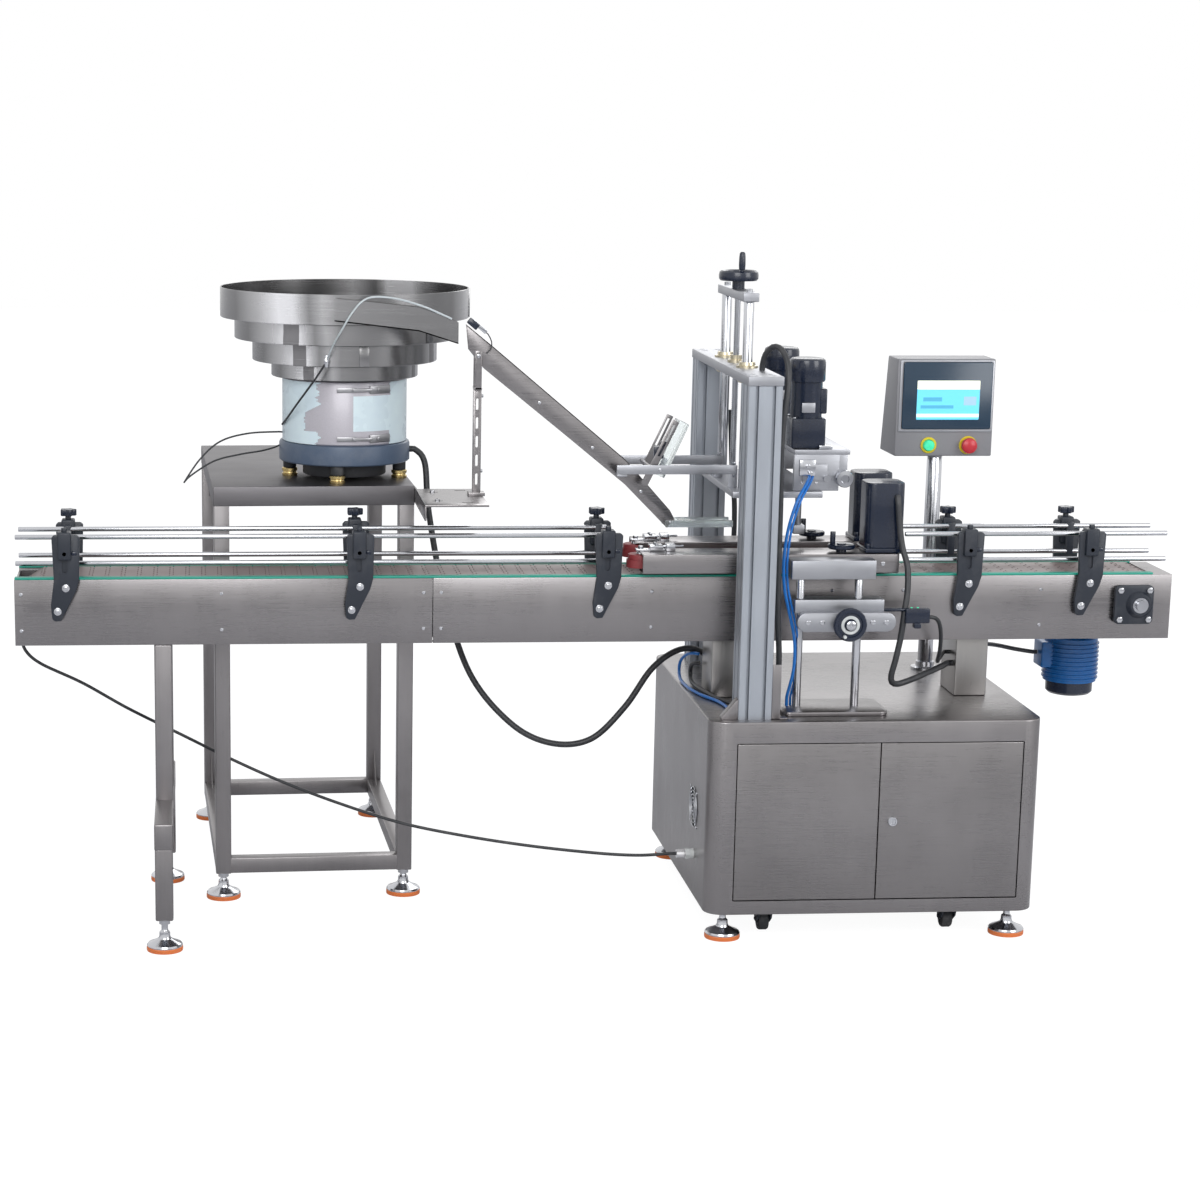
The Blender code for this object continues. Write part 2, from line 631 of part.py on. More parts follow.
def caster(index, x, y):
    """A low swivel caster: a plate and two cheeks with the axle, and a wheel on it."""
    top = CABINET_BOTTOM - GAP
    wheel_y = y + CASTER_TRAIL
    wheel_z = CASTER_RADIUS + 0.004
    swivel = pivot_at(f"caster_swivel_{index}", (x, y, top))
    fork = part(f"caster_fork_{index}", BLACK, rod("Z", (x, y), 0.030, top - 0.006, top, 16), swivel)
    for side in (-1, 1):
        cheek = [
            (y - 0.020, top - 0.003), (y + 0.025, top - 0.003),
            (wheel_y + 0.010, wheel_z - 0.008), (wheel_y - 0.010, wheel_z - 0.008),
        ]
        inner = x + side * 0.0135
        add(fork, prism("X", cheek, inner, inner + side * 0.004))
    add(fork, rod("X", (wheel_y, wheel_z), 0.004, x - 0.0145, x + 0.0145, 12))
    axle = pivot_at(f"caster_axle_{index}", (x, wheel_y, wheel_z), swivel)
    wheel = part(f"caster_wheel_{index}", RUBBER,
                 rod("X", (wheel_y, wheel_z), CASTER_RADIUS, x - 0.012, x + 0.012, 24), axle)
    cut(wheel, rod("X", (wheel_y, wheel_z), 0.004 + RUN, x - 0.05, x + 0.05, 12))


CASTER_X = (0.390, 0.842)
CASTER_Y = (-0.245, 0.405)
for index, (x, y) in enumerate([(x, y) for y in CASTER_Y for x in CASTER_X], start=1):
    caster(index, x, y)

PEDESTAL_Y = (-0.040, 0.092)
for name, left in (("left_pedestal", 0.282), ("right_pedestal", 0.888)):
    block = box((left, left + 0.080), PEDESTAL_Y, (DECK, PANEL_BOTTOM - GAP))
    part(name, STAINLESS, block)

# Gantry -------------------------------------------------------------------------------------


def slotted_square(centre):
    """The section of a square profile with two T-slot mouths in each face."""
    half, mouth, deep = PROFILE / 2, 0.004, 0.006
    face = [(-half, -half)]
    for offset in (-PROFILE / 4, PROFILE / 4):
        face += [
            (offset - mouth, -half), (offset - mouth, deep - half),
            (offset + mouth, deep - half), (offset + mouth, -half),
        ]
    outline = []
    for quarter in range(4):
        c, s = ((1, 0), (0, 1), (-1, 0), (0, -1))[quarter]
        outline += [(centre[0] + c * a - s * b, centre[1] + s * a + c * b) for a, b in face]
    return outline


COLUMN_TOP = GANTRY_UNDERSIDE - GAP
for name, y in (("front_column", FRONT_COLUMN_Y), ("rear_column", REAR_COLUMN_Y)):
    section = slotted_square((COLUMN_X, y))
    part(name, ALUMINIUM, prism("Z", section, DECK, COLUMN_TOP), smooth=False)

PLATE_HALF = PROFILE / 2 + 0.002
plate_y = (FRONT_COLUMN_Y - PLATE_HALF, REAR_COLUMN_Y + PLATE_HALF)
plate_x = (COLUMN_X - PLATE_HALF, COLUMN_X + PLATE_HALF)
top_plate = part("gantry_top_plate", ALUMINIUM, box(plate_x, plate_y, (GANTRY_UNDERSIDE, GANTRY_TOP)))
for y in GUIDE_Y:
    add(top_plate, rod("Z", (COLUMN_X, y), 0.026, GANTRY_UNDERSIDE - 0.012, GANTRY_TOP + 0.006, 24))
add(top_plate, rod("Z", (COLUMN_X, GUIDE_MIDDLE), 0.018, GANTRY_TOP - 0.004, GANTRY_TOP + 0.012, 16))
for y in GUIDE_Y:
    cut(top_plate, rod("Z", (COLUMN_X, y), GUIDE_RADIUS + RUN, 1.25, 1.45, 24))
cut(top_plate, rod("Z", (COLUMN_X, GUIDE_MIDDLE), SCREW_RADIUS + RUN, 1.25, 1.45, 16))

lift = pivot_at("lift_slide", (COLUMN_X, GUIDE_MIDDLE, CARRIAGE_TOP))
BAR_TOP = TOP_BAR_UNDERSIDE + TOP_BAR_HEIGHT
bar_y = (GUIDE_Y[0] - 0.026, GUIDE_Y[1] + 0.026)
yoke = part("lift_yoke", CHROME,
            box((COLUMN_X - 0.019, COLUMN_X + 0.019), bar_y, (TOP_BAR_UNDERSIDE, BAR_TOP)), lift)
for y in GUIDE_Y:
    add(yoke, rod("Z", (COLUMN_X, y), GUIDE_RADIUS, CARRIAGE_TOP + GAP, TOP_BAR_UNDERSIDE + 0.004, 24))
cut(yoke, rod("Z", (COLUMN_X, GUIDE_MIDDLE), SCREW_RADIUS + RUN, 1.45, 1.60, 16))

CARRIAGE_UNDERSIDE = CARRIAGE_TOP - CARRIAGE_THICKNESS
carriage_y = (GUIDE_MIDDLE - 0.211, GUIDE_MIDDLE + 0.211)
carriage = part("carriage_plate", ALUMINIUM,
                box((0.303, 0.520), carriage_y, (CARRIAGE_UNDERSIDE, CARRIAGE_TOP)), lift)
ARM_BAR_Z = (1.092, 1.114)
for y, start in zip(ARM_BAR_Y, ARM_BAR_STARTS):
    add(carriage, box((start, 0.327), (y - 0.004, y + 0.004), ARM_BAR_Z))
    add(carriage, box((0.305, 0.326), (y - 0.003, y + 0.003), (CARRIAGE_TOP - 0.004, 1.110)))
add(
    carriage,
    rod("Z", (HEAD_MOTOR_X + 0.003, 0), 0.008, 0.955, CARRIAGE_UNDERSIDE + 0.004, 16),
    box((0.476, 0.504), (-0.020, 0.020), (0.941, 0.963)),
)

screw_pivot = pivot_at("handwheel_axis", (COLUMN_X, GUIDE_MIDDLE, BAR_TOP), lift)
screw = part("lift_screw", CHROME,
             rod("Z", (COLUMN_X, GUIDE_MIDDLE), SCREW_RADIUS, CARRIAGE_TOP + GAP, BAR_TOP + 0.010, 16),
             screw_pivot)
HUB_TOP = BAR_TOP + 0.022
wheel_profile = [
    (0, BAR_TOP + GAP), (0.015, BAR_TOP + GAP), (0.015, HUB_TOP), (0.034, HUB_TOP),
    (0.036, HUB_TOP - 0.002), (HANDWHEEL_RADIUS, HUB_TOP - 0.002), (HANDWHEEL_RADIUS, HUB_TOP + 0.022),
    (0.038, HUB_TOP + 0.022), (0.036, HUB_TOP + 0.006), (0.015, HUB_TOP + 0.006), (0, HUB_TOP + 0.010),
]
add(screw, turned((COLUMN_X, GUIDE_MIDDLE), wheel_profile, 24))
GRIP_PIN_Y = GUIDE_MIDDLE - HANDWHEEL_RADIUS + 0.009
add(screw, rod("Z", (COLUMN_X, GRIP_PIN_Y), 0.008, HUB_TOP + 0.010, HUB_TOP + 0.068, 16))

# Capping head -------------------------------------------------------------------------------
head_y = (-0.120, 0.300)
head = part("head_bracket", ALUMINIUM, box(HEAD_X, head_y, (HEAD_PLATE_Z, HEAD_PLATE_Z + 0.012)), lift)
head_low = CARRIAGE_TOP + GAP
for low, high in ((head_y[0], head_y[0] + 0.014), (head_y[1] - 0.014, head_y[1])):
    add(head, box((HEAD_X[0], 0.560), (low + 0.001, high - 0.001), (head_low, HEAD_PLATE_Z + 0.004)))
add(head, rod("Y", (0.571, 1.091), 0.021, head_y[0] - 0.020, head_y[0] + 0.004, 20))
add(head, box((0.545, 0.575), (head_y[0] + 0.002, head_y[0] + 0.012), (1.075, HEAD_PLATE_Z + 0.004)))


def head_motor(name, y):
    """An upright motor: square gearbox below, round body, wider cap on top."""
    bottom = HEAD_PLATE_Z + 0.012 + GAP
    half = HEAD_MOTOR_RADIUS
    gearbox = box((HEAD_MOTOR_X - half, HEAD_MOTOR_X + half), (y - half, y + half), (bottom, bottom + 0.070))
    motor = part(name, BLACK, gearbox, lift)
    add(motor, rod("Z", (HEAD_MOTOR_X, y), half - 0.004, bottom + 0.066, HEAD_MOTOR_TOP - 0.045, 24))
    add(motor, rod("Z", (HEAD_MOTOR_X, y), half + 0.003, HEAD_MOTOR_TOP - 0.050, HEAD_MOTOR_TOP, 24))


head_motor("front_head_motor", HEAD_MOTOR_Y[0])
head_motor("rear_head_motor", HEAD_MOTOR_Y[1])

CAP_WHEEL_Y = CAP_WHEEL_RADIUS + 0.012
for name, side in (("front_cap_wheel", -1), ("rear_cap_wheel", 1)):
    y = side * CAP_WHEEL_Y
    pivot = pivot_at(f"{name}_axis", (CAP_WHEEL_X, y, CAP_WHEEL_Z), lift)
    disc = rod("Z", (CAP_WHEEL_X, y), CAP_WHEEL_RADIUS, CAP_WHEEL_Z, CAP_WHEEL_Z + 0.030, 24)
    wheel = part(name, RUBBER, disc, pivot)
    add(wheel, rod("Z", (CAP_WHEEL_X, y), 0.009, CAP_WHEEL_Z + 0.02, CARRIAGE_UNDERSIDE - GAP, 16))

# Bottle-gripping belts ----------------------------------------------------------------------
COVER_WALL = 0.004


def grip_unit(word, side, x, motor_x):
    """A belt housing open towards the lane, its drive pulley and the upright motor on top."""
    pivot = pivot_at(f"{word}_grip_slide", (sum(x) / 2, side * GRIP_LANE, GRIP_TOP))
    low, high = sorted((side * GRIP_LANE, side * (GRIP_LANE + GRIP_DEPTH)))
    cover = part(f"{word}_grip_cover", STAINLESS, box(x, (low, high), (GRIP_BOTTOM, GRIP_TOP)), pivot)
    pocket = sorted((side * (GRIP_LANE - 0.02), side * (GRIP_LANE + GRIP_DEPTH - COVER_WALL)))
    inside = (x[0] + COVER_WALL, x[1] - COVER_WALL)
    cut(cover, box(inside, pocket, (GRIP_BOTTOM + COVER_WALL, GRIP_TOP - COVER_WALL)))
    pulley_y = side * (GRIP_LANE + PULLEY_RADIUS + 0.004)
    motor_y = pulley_y + side * 0.012
    cut(cover, rod("Z", (motor_x, pulley_y), 0.008 + RUN, GRIP_TOP - 0.01, GRIP_TOP + 0.01, 16))
    motor_low = GRIP_TOP + GAP
    motor = part(f"{word}_grip_motor", BLACK,
                 rod("Z", (motor_x, motor_y), GRIP_MOTOR_RADIUS, motor_low + 0.012, GRIP_MOTOR_TOP, 24), pivot)
    half = GRIP_MOTOR_RADIUS + 0.002
    base = box((motor_x - half, motor_x + half), (motor_y - half, motor_y + half), (motor_low, motor_low + 0.016))
    add(motor, base)
    cut(motor, rod("Z", (motor_x, pulley_y), 0.008 + RUN, 0.8, motor_low + 0.008, 16))
    axis = pivot_at(f"{word}_pulley_axis", (motor_x, pulley_y, GRIP_BOTTOM), pivot)
    z = (GRIP_BOTTOM + COVER_WALL + GAP, GRIP_TOP - COVER_WALL - GAP)
    pulley = part(f"{word}_grip_pulley", ALUMINIUM, rod("Z", (motor_x, pulley_y), PULLEY_RADIUS, *z, 24), axis)
    add(pulley, rod("Z", (motor_x, pulley_y), 0.008, z[1] - 0.01, motor_low + 0.007, 16))


grip_unit("front", -1, FRONT_GRIP_X, GRIP_MOTOR_X[0])
grip_unit("rear", 1, REAR_GRIP_X, GRIP_MOTOR_X[1])

STAND_FACE = -GRIP_LANE - GRIP_DEPTH - GAP
BLOCK_X = (0.435, 0.637)
POST_Y = STAND_FACE - 0.036
grip_stand = part("grip_stand", ALUMINIUM,
                  box(BLOCK_X, (STAND_FACE - 0.064, STAND_FACE), (0.862, 0.907)))
add(grip_stand, box((0.444, 0.659), (POST_Y - 0.032, POST_Y + 0.025), (0.781, 0.814)))
add(grip_stand, prism("Y", rounded((0.446, 0.684), (0.740, 0.786), 0.022), POST_Y - 0.054, POST_Y - 0.030))
for x in (0.462, 0.603):
    add(grip_stand, rod("Z", (x, POST_Y), 0.010, 0.545, 0.866, 16))
base = rounded((0.415, 0.670), (POST_Y - 0.075, POST_Y + 0.080), 0.020)
add(grip_stand, prism("Z", base, DECK, DECK + 0.010))
DIAL_SEAT = POST_Y - 0.068
add(grip_stand, rod("Y", (DIAL_X, DIAL_Z), 0.014, DIAL_SEAT, POST_Y - 0.050, 16))
dial_pivot = pivot_at("dial_axis", (DIAL_X, DIAL_SEAT, DIAL_Z))
dial = part("grip_handwheel", BLACK,
            rod("Y", (DIAL_X, DIAL_Z), DIAL_RADIUS, DIAL_SEAT - GAP - 0.018, DIAL_SEAT - GAP, 24), dial_pivot)
add(dial, rod("Y", (DIAL_X, DIAL_Z), 0.012, DIAL_SEAT - GAP - 0.026, DIAL_SEAT - GAP - 0.010, 16))

# Cap feeder ---------------------------------------------------------------------------------
stand_pivot = pivot_at("stand_place", (*STAND_CENTRE, 0))
stand_pivot.rotation_euler.z = STAND_TURN


def feeder_stand():
    """A welded tube frame with a folded table top and four feet, in the stand's own axes."""
    centre_x, centre_y = STAND_CENTRE
    half_x, half_y, tube = STAND_WIDTH / 2, STAND_DEPTH / 2, STAND_TUBE / 2
    x = (centre_x - half_x - tube, centre_x + half_x + tube)
    y = (centre_y - half_y - tube, centre_y + half_y + tube)
    table = box(x, y, (TABLE_TOP - TABLE_SKIRT, TABLE_TOP))
    stand = part("feeder_stand", STAINLESS, table, stand_pivot)
    wall = 0.004
    cut(stand, box((x[0] + wall, x[1] - wall), (y[0] + wall, y[1] - wall),
                   (TABLE_TOP - TABLE_SKIRT - 0.01, TABLE_TOP - wall)))
    legs = []
    feet = []
    rail = STAND_TUBE / 2 - 0.001
    for lx in (centre_x - half_x, centre_x + half_x):
        for ly in (centre_y - half_y, centre_y + half_y):
            inset = tube - 0.001
            legs.append(box((lx - inset, lx + inset), (ly - inset, ly + inset),
                            (STAND_RAIL_Z - 0.022, TABLE_TOP - wall / 2)))
            feet.append(foot(lx, ly, STAND_RAIL_Z))
    add(stand, joined(*legs))
    z = (STAND_RAIL_Z - 0.020, STAND_RAIL_Z + 0.020)
    for ly in (centre_y - half_y, centre_y + half_y):
        add(stand, box((centre_x - half_x, centre_x + half_x), (ly - rail + 0.002, ly + rail - 0.002), z))
    for lx in (centre_x - half_x, centre_x + half_x):
        add(stand, box((lx - rail + 0.001, lx + rail - 0.001), (centre_y - half_y, centre_y + half_y),
                       (z[0] + 0.001, z[1] - 0.001)))
    add(stand, joined(*feet))


feeder_stand()

drum_profile = [
    (0, BASE_BOTTOM), (BASE_RADIUS, BASE_BOTTOM), (BASE_RADIUS, BASE_BOTTOM + BASE_HEIGHT),
    (DRUM_RADIUS, BASE_BOTTOM + BASE_HEIGHT), (DRUM_RADIUS, BOWL_BOTTOM - 0.004), (0, BOWL_BOTTOM - 0.004),
]
feeder = part("feeder_drum", DRUM_FILM, turned((FEEDER_X, FEEDER_Y), drum_profile, 32))
for i in range(4):
    turn = math.radians(-100 + 90 * i)
    place = (FEEDER_X + 0.140 * math.cos(turn), FEEDER_Y + 0.140 * math.sin(turn))
    add(feeder, rod("Z", place, 0.015, TABLE_TOP + GAP, BASE_BOTTOM + 0.004, 12))

bowl_profile = [(0, BOWL_BOTTOM)]
for radius, top in BOWL_TIERS:
    bowl_profile += [(radius, bowl_profile[-1][1]), (radius, top)]
inner_profile = []
for (radius, top), (_, below) in zip(BOWL_TIERS[::-1], BOWL_TIERS[-2::-1] + ((0, BOWL_BOTTOM),)):
    rim = top if radius == BOWL_TIERS[-1][0] else top + BOWL_WALL
    inner_profile += [(radius - BOWL_WALL, rim), (radius - BOWL_WALL, below + BOWL_WALL)]
bowl_profile += inner_profile + [(0, BOWL_BOTTOM + BOWL_WALL + 0.012)]
bowl_pivot = pivot_at("bowl_axis", (FEEDER_X, FEEDER_Y, BOWL_BOTTOM))
bowl = part("feeder_bowl", STAINLESS, turned((FEEDER_X, FEEDER_Y), bowl_profile, 40), bowl_pivot)
add(bowl, rod("Z", (FEEDER_X, FEEDER_Y), 0.040, BOWL_BOTTOM - 0.004 + GAP, BOWL_BOTTOM + 0.008, 16))
OUTLET_END = -0.346
outlet = [
    (-0.640, 1.448), (-0.440, 1.425), (OUTLET_END, 1.395), (OUTLET_END, 1.452),
    (-0.440, 1.485), (-0.640, 1.500),
]
add(bowl, prism("Y", outlet, -CHUTE_HALF, CHUTE_HALF))


def chute():
    """An open channel down to the gripping belts, hung on a pin near its upper end."""
    top = [(-0.326, 1.444), (-0.260, 1.391), (0.061, 1.123), (0.172, 1.000), (0.184, 0.978)]
    bottom = [(0.166, 0.957), (0.063, 1.061), (-0.086, 1.182), (-0.283, 1.340), (-0.320, 1.385)]
    pivot = pivot_at("chute_axis", (CHUTE_PIVOT[0], 0, CHUTE_PIVOT[1]))
    outline = top + bottom
    channel = part("chute", STAINLESS, prism("Y", outline, -CHUTE_HALF, CHUTE_HALF), pivot)
    floor = [(x + 0.003, z + 0.004) for x, z in bottom]
    floor[0] = (floor[0][0] + 0.03, floor[0][1] - 0.03)
    floor[-1] = (floor[-1][0] - 0.05, floor[-1][1] + 0.07)
    inside = [(x, z + 0.05) for x, z in top]
    inside[-1] = (inside[-1][0] + 0.06, inside[-1][1])
    half = CHUTE_HALF - CHUTE_WALL
    cut(channel, prism("Y", inside + floor, -half, half))
    for side in (-1, 1):
        add(channel, rod("Y", CHUTE_PIVOT, 0.005, side * (CHUTE_HALF - CHUTE_WALL / 2), side * 0.027, 12))


chute()

BRACKET_X = (-0.435, -0.283)
BRACKET_Z = (1.030, 1.036)
STAY_X = (-0.308, -0.288)
stay = part("chute_stay", STAINLESS, box(BRACKET_X, (-0.170, 0.112), BRACKET_Z))
add(stay, box((BRACKET_X[0], BRACKET_X[0] + 0.004), (-0.169, 0.160), (0.998, BRACKET_Z[1] - 0.001)))
EAR_Y = (0.0185, 0.0235)
EAR_LOW = 1.290
add(stay, box(STAY_X, (-0.006, 0.006), (BRACKET_Z[1] - 0.002, EAR_LOW + 0.006)))
add(stay, box((STAY_X[0] - 0.010, STAY_X[1] + 0.010), (-0.018, 0.018), (BRACKET_Z[1] - 0.003, BRACKET_Z[1] + 0.008)))
add(stay, box((STAY_X[0] + 0.001, STAY_X[1] - 0.001), (-EAR_Y[1], EAR_Y[1]), (EAR_LOW, EAR_LOW + 0.007)))
for side in (-1, 1):
    ear = sorted((side * EAR_Y[0], side * EAR_Y[1]))
    add(stay, box((STAY_X[0] + 0.002, STAY_X[1] - 0.002), ear, (EAR_LOW + 0.001, CHUTE_PIVOT[1] + 0.012)))
    cut(stay, rod("Y", CHUTE_PIVOT, 0.005 + RUN, side * 0.012, side * 0.035, 12))

# Operator panel -----------------------------------------------------------------------------
part("panel_post", STAINLESS, rod("Z", PANEL_POST, PANEL_POST_RADIUS, DECK, HMI_BOTTOM - GAP, 24))
panel_pivot = pivot_at("panel_swivel", (*PANEL_POST, HMI_BOTTOM))
panel_outline = [
    (HMI_FRONT, HMI_BOTTOM), (HMI_FRONT, HMI_TOP), (HMI_FRONT + 0.100, HMI_TOP),
    (HMI_FRONT + 0.150, HMI_BOTTOM),
]
panel = part("panel_box", GREY, prism("X", panel_outline, HMI_LEFT, HMI_LEFT + HMI_WIDTH), panel_pivot)
POCKET = 0.014
for name, x, material in (("start_button", START_X, GREEN), ("stop_button", STOP_X, RED)):
    cut(panel, rod("Y", (x, BUTTON_Z), BUTTON_RADIUS + RUN, HMI_FRONT - 0.01, HMI_FRONT + POCKET, 20))
    button_pivot = pivot_at(f"{name}_axis", (x, HMI_FRONT, BUTTON_Z), panel_pivot)
    length = 0.012 if name == "start_button" else 0.026
    button = part(name, material,
                  rod("Y", (x, BUTTON_Z), BUTTON_RADIUS, HMI_FRONT - length, HMI_FRONT + POCKET - 0.006, 20),
                  button_pivot)
    if name == "stop_button":
        add(button, rod("Y", (x, BUTTON_Z), 0.020, HMI_FRONT - length - 0.004, HMI_FRONT - 0.012, 20))


# Cords --------------------------------------------------------------------------------------
def smooth_route(points, spacing):
    """Straight first and last legs, and between them a Catmull-Rom curve cut into even steps."""
    knots = [Vector(p) for p in points]
    fine = []
    for a, b, c, d in zip(knots, knots[1:], knots[2:], knots[3:]):
        for i in range(20):
            t = i / 20
            fine.append(0.5 * (2 * b + (c - a) * t + (2 * a - 5 * b + 4 * c - d) * t ** 2
                               + (3 * b - a - 3 * c + d) * t ** 3))
    fine.append(knots[-2])
    total = sum((b - a).length for a, b in zip(fine, fine[1:]))
    count = max(2, round(total / spacing))
    step = total / count
    route = [fine[0]]
    travelled = 0.0
    for a, b in zip(fine, fine[1:]):
        length = (b - a).length
        while len(route) < count and travelled + length >= step * len(route):
            route.append(a.lerp(b, (step * len(route) - travelled) / length))
        travelled += length
    return [knots[0]] + route + [fine[-1], knots[-1]]


def cord(name, material, points, radius, spacing):
    curve = bpy.data.curves.new(name, "CURVE")
    curve.dimensions = "3D"
    curve.bevel_depth = radius
    curve.bevel_resolution = 2
    curve.use_fill_caps = True
    route = smooth_route(points, spacing)
    spline = curve.splines.new("POLY")
    spline.points.add(len(route) - 1)
    for knot, place in zip(spline.points, route):
        knot.co = (*place, 1)
    curve.materials.append(material)
    made = bpy.data.objects.new(name, curve)
    made.parent = machine
    bpy.context.scene.collection.objects.link(made)


GLAND_TIP = CABINET_LEFT - GLAND_LENGTH - GAP
LEAD_ROUTE = (
    (LEAD_CLIP_X, 0.030, LEAD_CLIP_Z - GAP), (LEAD_CLIP_X, 0.030, LEAD_CLIP_Z - 0.014),
    (-1.386, 0.031, 0.658), (-1.350, 0.040, 0.622), (-1.250, 0.070, 0.566), (-1.140, 0.110, 0.492), (-1.010, 0.160, 0.413),
    (-0.890, 0.185, 0.345), (-0.760, 0.150, 0.292), (-0.620, 0.090, 0.250), (-0.470, 0.030, 0.214),
    (-0.310, -0.020, 0.191), (-0.150, -0.070, 0.177), (0.000, -0.110, 0.169), (0.090, -0.130, 0.168),
    (0.145, GLAND_Y, 0.171), (GLAND_TIP - 0.014, GLAND_Y, GLAND_Z), (GLAND_TIP, GLAND_Y, GLAND_Z),
)
cord("power_lead", RUBBER, LEAD_ROUTE, LEAD_RADIUS, 0.024)

CONDUIT_START = FEEDER_X + BASE_RADIUS + GAP
CONDUIT_ROUTE = (
    (CONDUIT_START, FEEDER_Y, 1.110), (CONDUIT_START + 0.012, FEEDER_Y, 1.110), (-0.398, 0.306, 1.075),
    (-0.388, 0.285, 0.950), (-0.352, 0.235, 0.750), (-0.290, 0.185, 0.560), (-0.190, 0.145, 0.440),
    (-0.090, 0.125, 0.392), (0.010, 0.120, 0.402), (0.095, 0.125, 0.482), (0.165, 0.135, 0.580),
    (0.235, 0.140, 0.626), (0.295, 0.145, 0.615), (0.328, 0.150, DECK + 0.020), (0.328, 0.150, DECK),
)
cord("feeder_conduit", BLACK, CONDUIT_ROUTE, CONDUIT_RADIUS, 0.024)
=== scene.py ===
# %% [markdown]
# # A capping machine on a slat-chain conveyor
#
# This lesson dresses a plain model of a bottle capping machine: a long conveyor, a steel cabinet,
# a lifting head on an aluminium gantry, a bowl feeder on its own stand and an operator panel.
# The plain solids give every place and size. Here each gets its real shape and its finish.

# %% Load the plain model and remember its box
import math

import bpy
from mathutils import Matrix, Vector


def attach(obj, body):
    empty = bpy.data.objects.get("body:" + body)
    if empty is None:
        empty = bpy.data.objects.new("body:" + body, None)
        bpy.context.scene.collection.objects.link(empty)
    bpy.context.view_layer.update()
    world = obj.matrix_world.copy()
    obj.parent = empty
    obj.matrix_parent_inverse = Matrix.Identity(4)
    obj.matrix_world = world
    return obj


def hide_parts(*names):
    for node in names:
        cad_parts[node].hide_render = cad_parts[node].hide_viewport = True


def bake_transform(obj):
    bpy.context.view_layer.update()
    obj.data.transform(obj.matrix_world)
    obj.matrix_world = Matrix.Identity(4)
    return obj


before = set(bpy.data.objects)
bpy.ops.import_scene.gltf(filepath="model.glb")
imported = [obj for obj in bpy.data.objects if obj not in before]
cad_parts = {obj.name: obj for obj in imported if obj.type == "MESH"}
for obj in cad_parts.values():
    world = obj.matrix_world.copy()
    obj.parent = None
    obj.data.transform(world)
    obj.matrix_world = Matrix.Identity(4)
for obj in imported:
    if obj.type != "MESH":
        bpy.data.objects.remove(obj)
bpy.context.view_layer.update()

# %% [markdown]
# ## The conveyor's line
#
# Every size below is measured from the middle of the conveyor, on the floor. The model stands
# centred over its own origin, so that line lies a little in front of it. One constant moves
# each finished piece there.

# %% Where the conveyor's centre line lies
LINE_Y = -0.323


def at(x, y, z):
    """A place measured from the conveyor's middle, in the model's own coordinates."""
    return Vector((x, y + LINE_Y, z))


# %% [markdown]
# ## Camera
#
# The machine is nearly three metres long, so it is seen from six and a half metres away with a
# long lens, from a little above the bowl and near the infeed end. Three angles turn the camera,
# and a small lens shift slides the picture sideways, which keeps the conveyor almost level.

# %% Camera
YAW, PITCH, ROLL = (math.radians(a) for a in (4.589, 12.193, 0.493))
forward = Vector((math.sin(YAW) * math.cos(PITCH), math.cos(YAW) * math.cos(PITCH), -math.sin(PITCH)))
level = Vector((math.cos(YAW), -math.sin(YAW), 0))
upright = level.cross(forward)
right = math.cos(ROLL) * level + math.sin(ROLL) * upright
up = math.cos(ROLL) * upright - math.sin(ROLL) * level
lens = bpy.data.cameras.new("camera")
lens.lens = 82.81
lens.sensor_width = 36
lens.shift_x = 0.148
lens.shift_y = 0.0843
camera = bpy.data.objects.new("camera", lens)
facing = Matrix((right, up, -forward)).transposed().to_4x4()
camera.matrix_world = Matrix.Translation(at(-0.951, -6.574, 1.954)) @ facing
bpy.context.scene.collection.objects.link(camera)
bpy.context.scene.camera = camera
print("camera at", tuple(round(v, 3) for v in camera.location))

# %% [markdown]
# ## Shader sums in Python
#
# A finish is a small network of nodes. Wrapping a socket in a class lets Python's own + and *
# add the Math nodes, so a finish reads like the sum that it is. Every other node comes from
# one method, which sets the node's own settings first and then its inputs.


# %% A socket that can be added and multiplied
class Wire:
    """One output socket of a material's nodes."""

    def __init__(self, recipe, socket):
        self.recipe = recipe
        self.socket = socket

    def _with(self, operation, first, second):
        return self.recipe.node("Math", {"operation": operation}, {0: first, 1: second})

    def __add__(self, other):
        return self._with("ADD", self, other)

    __radd__ = __add__

    def __mul__(self, other):
        return self._with("MULTIPLY", self, other)

    __rmul__ = __mul__

    def __sub__(self, other):
        return self._with("SUBTRACT", self, other)

    def __rsub__(self, other):
        return self._with("SUBTRACT", other, self)

    def __gt__(self, other):
        return self._with("GREATER_THAN", self, other)

    def __lt__(self, other):
        return self._with("LESS_THAN", self, other)


# %% [markdown]
# A recipe holds one material. Its methods add nodes, feed sockets with numbers, colours or other
# nodes, and give back what came out.


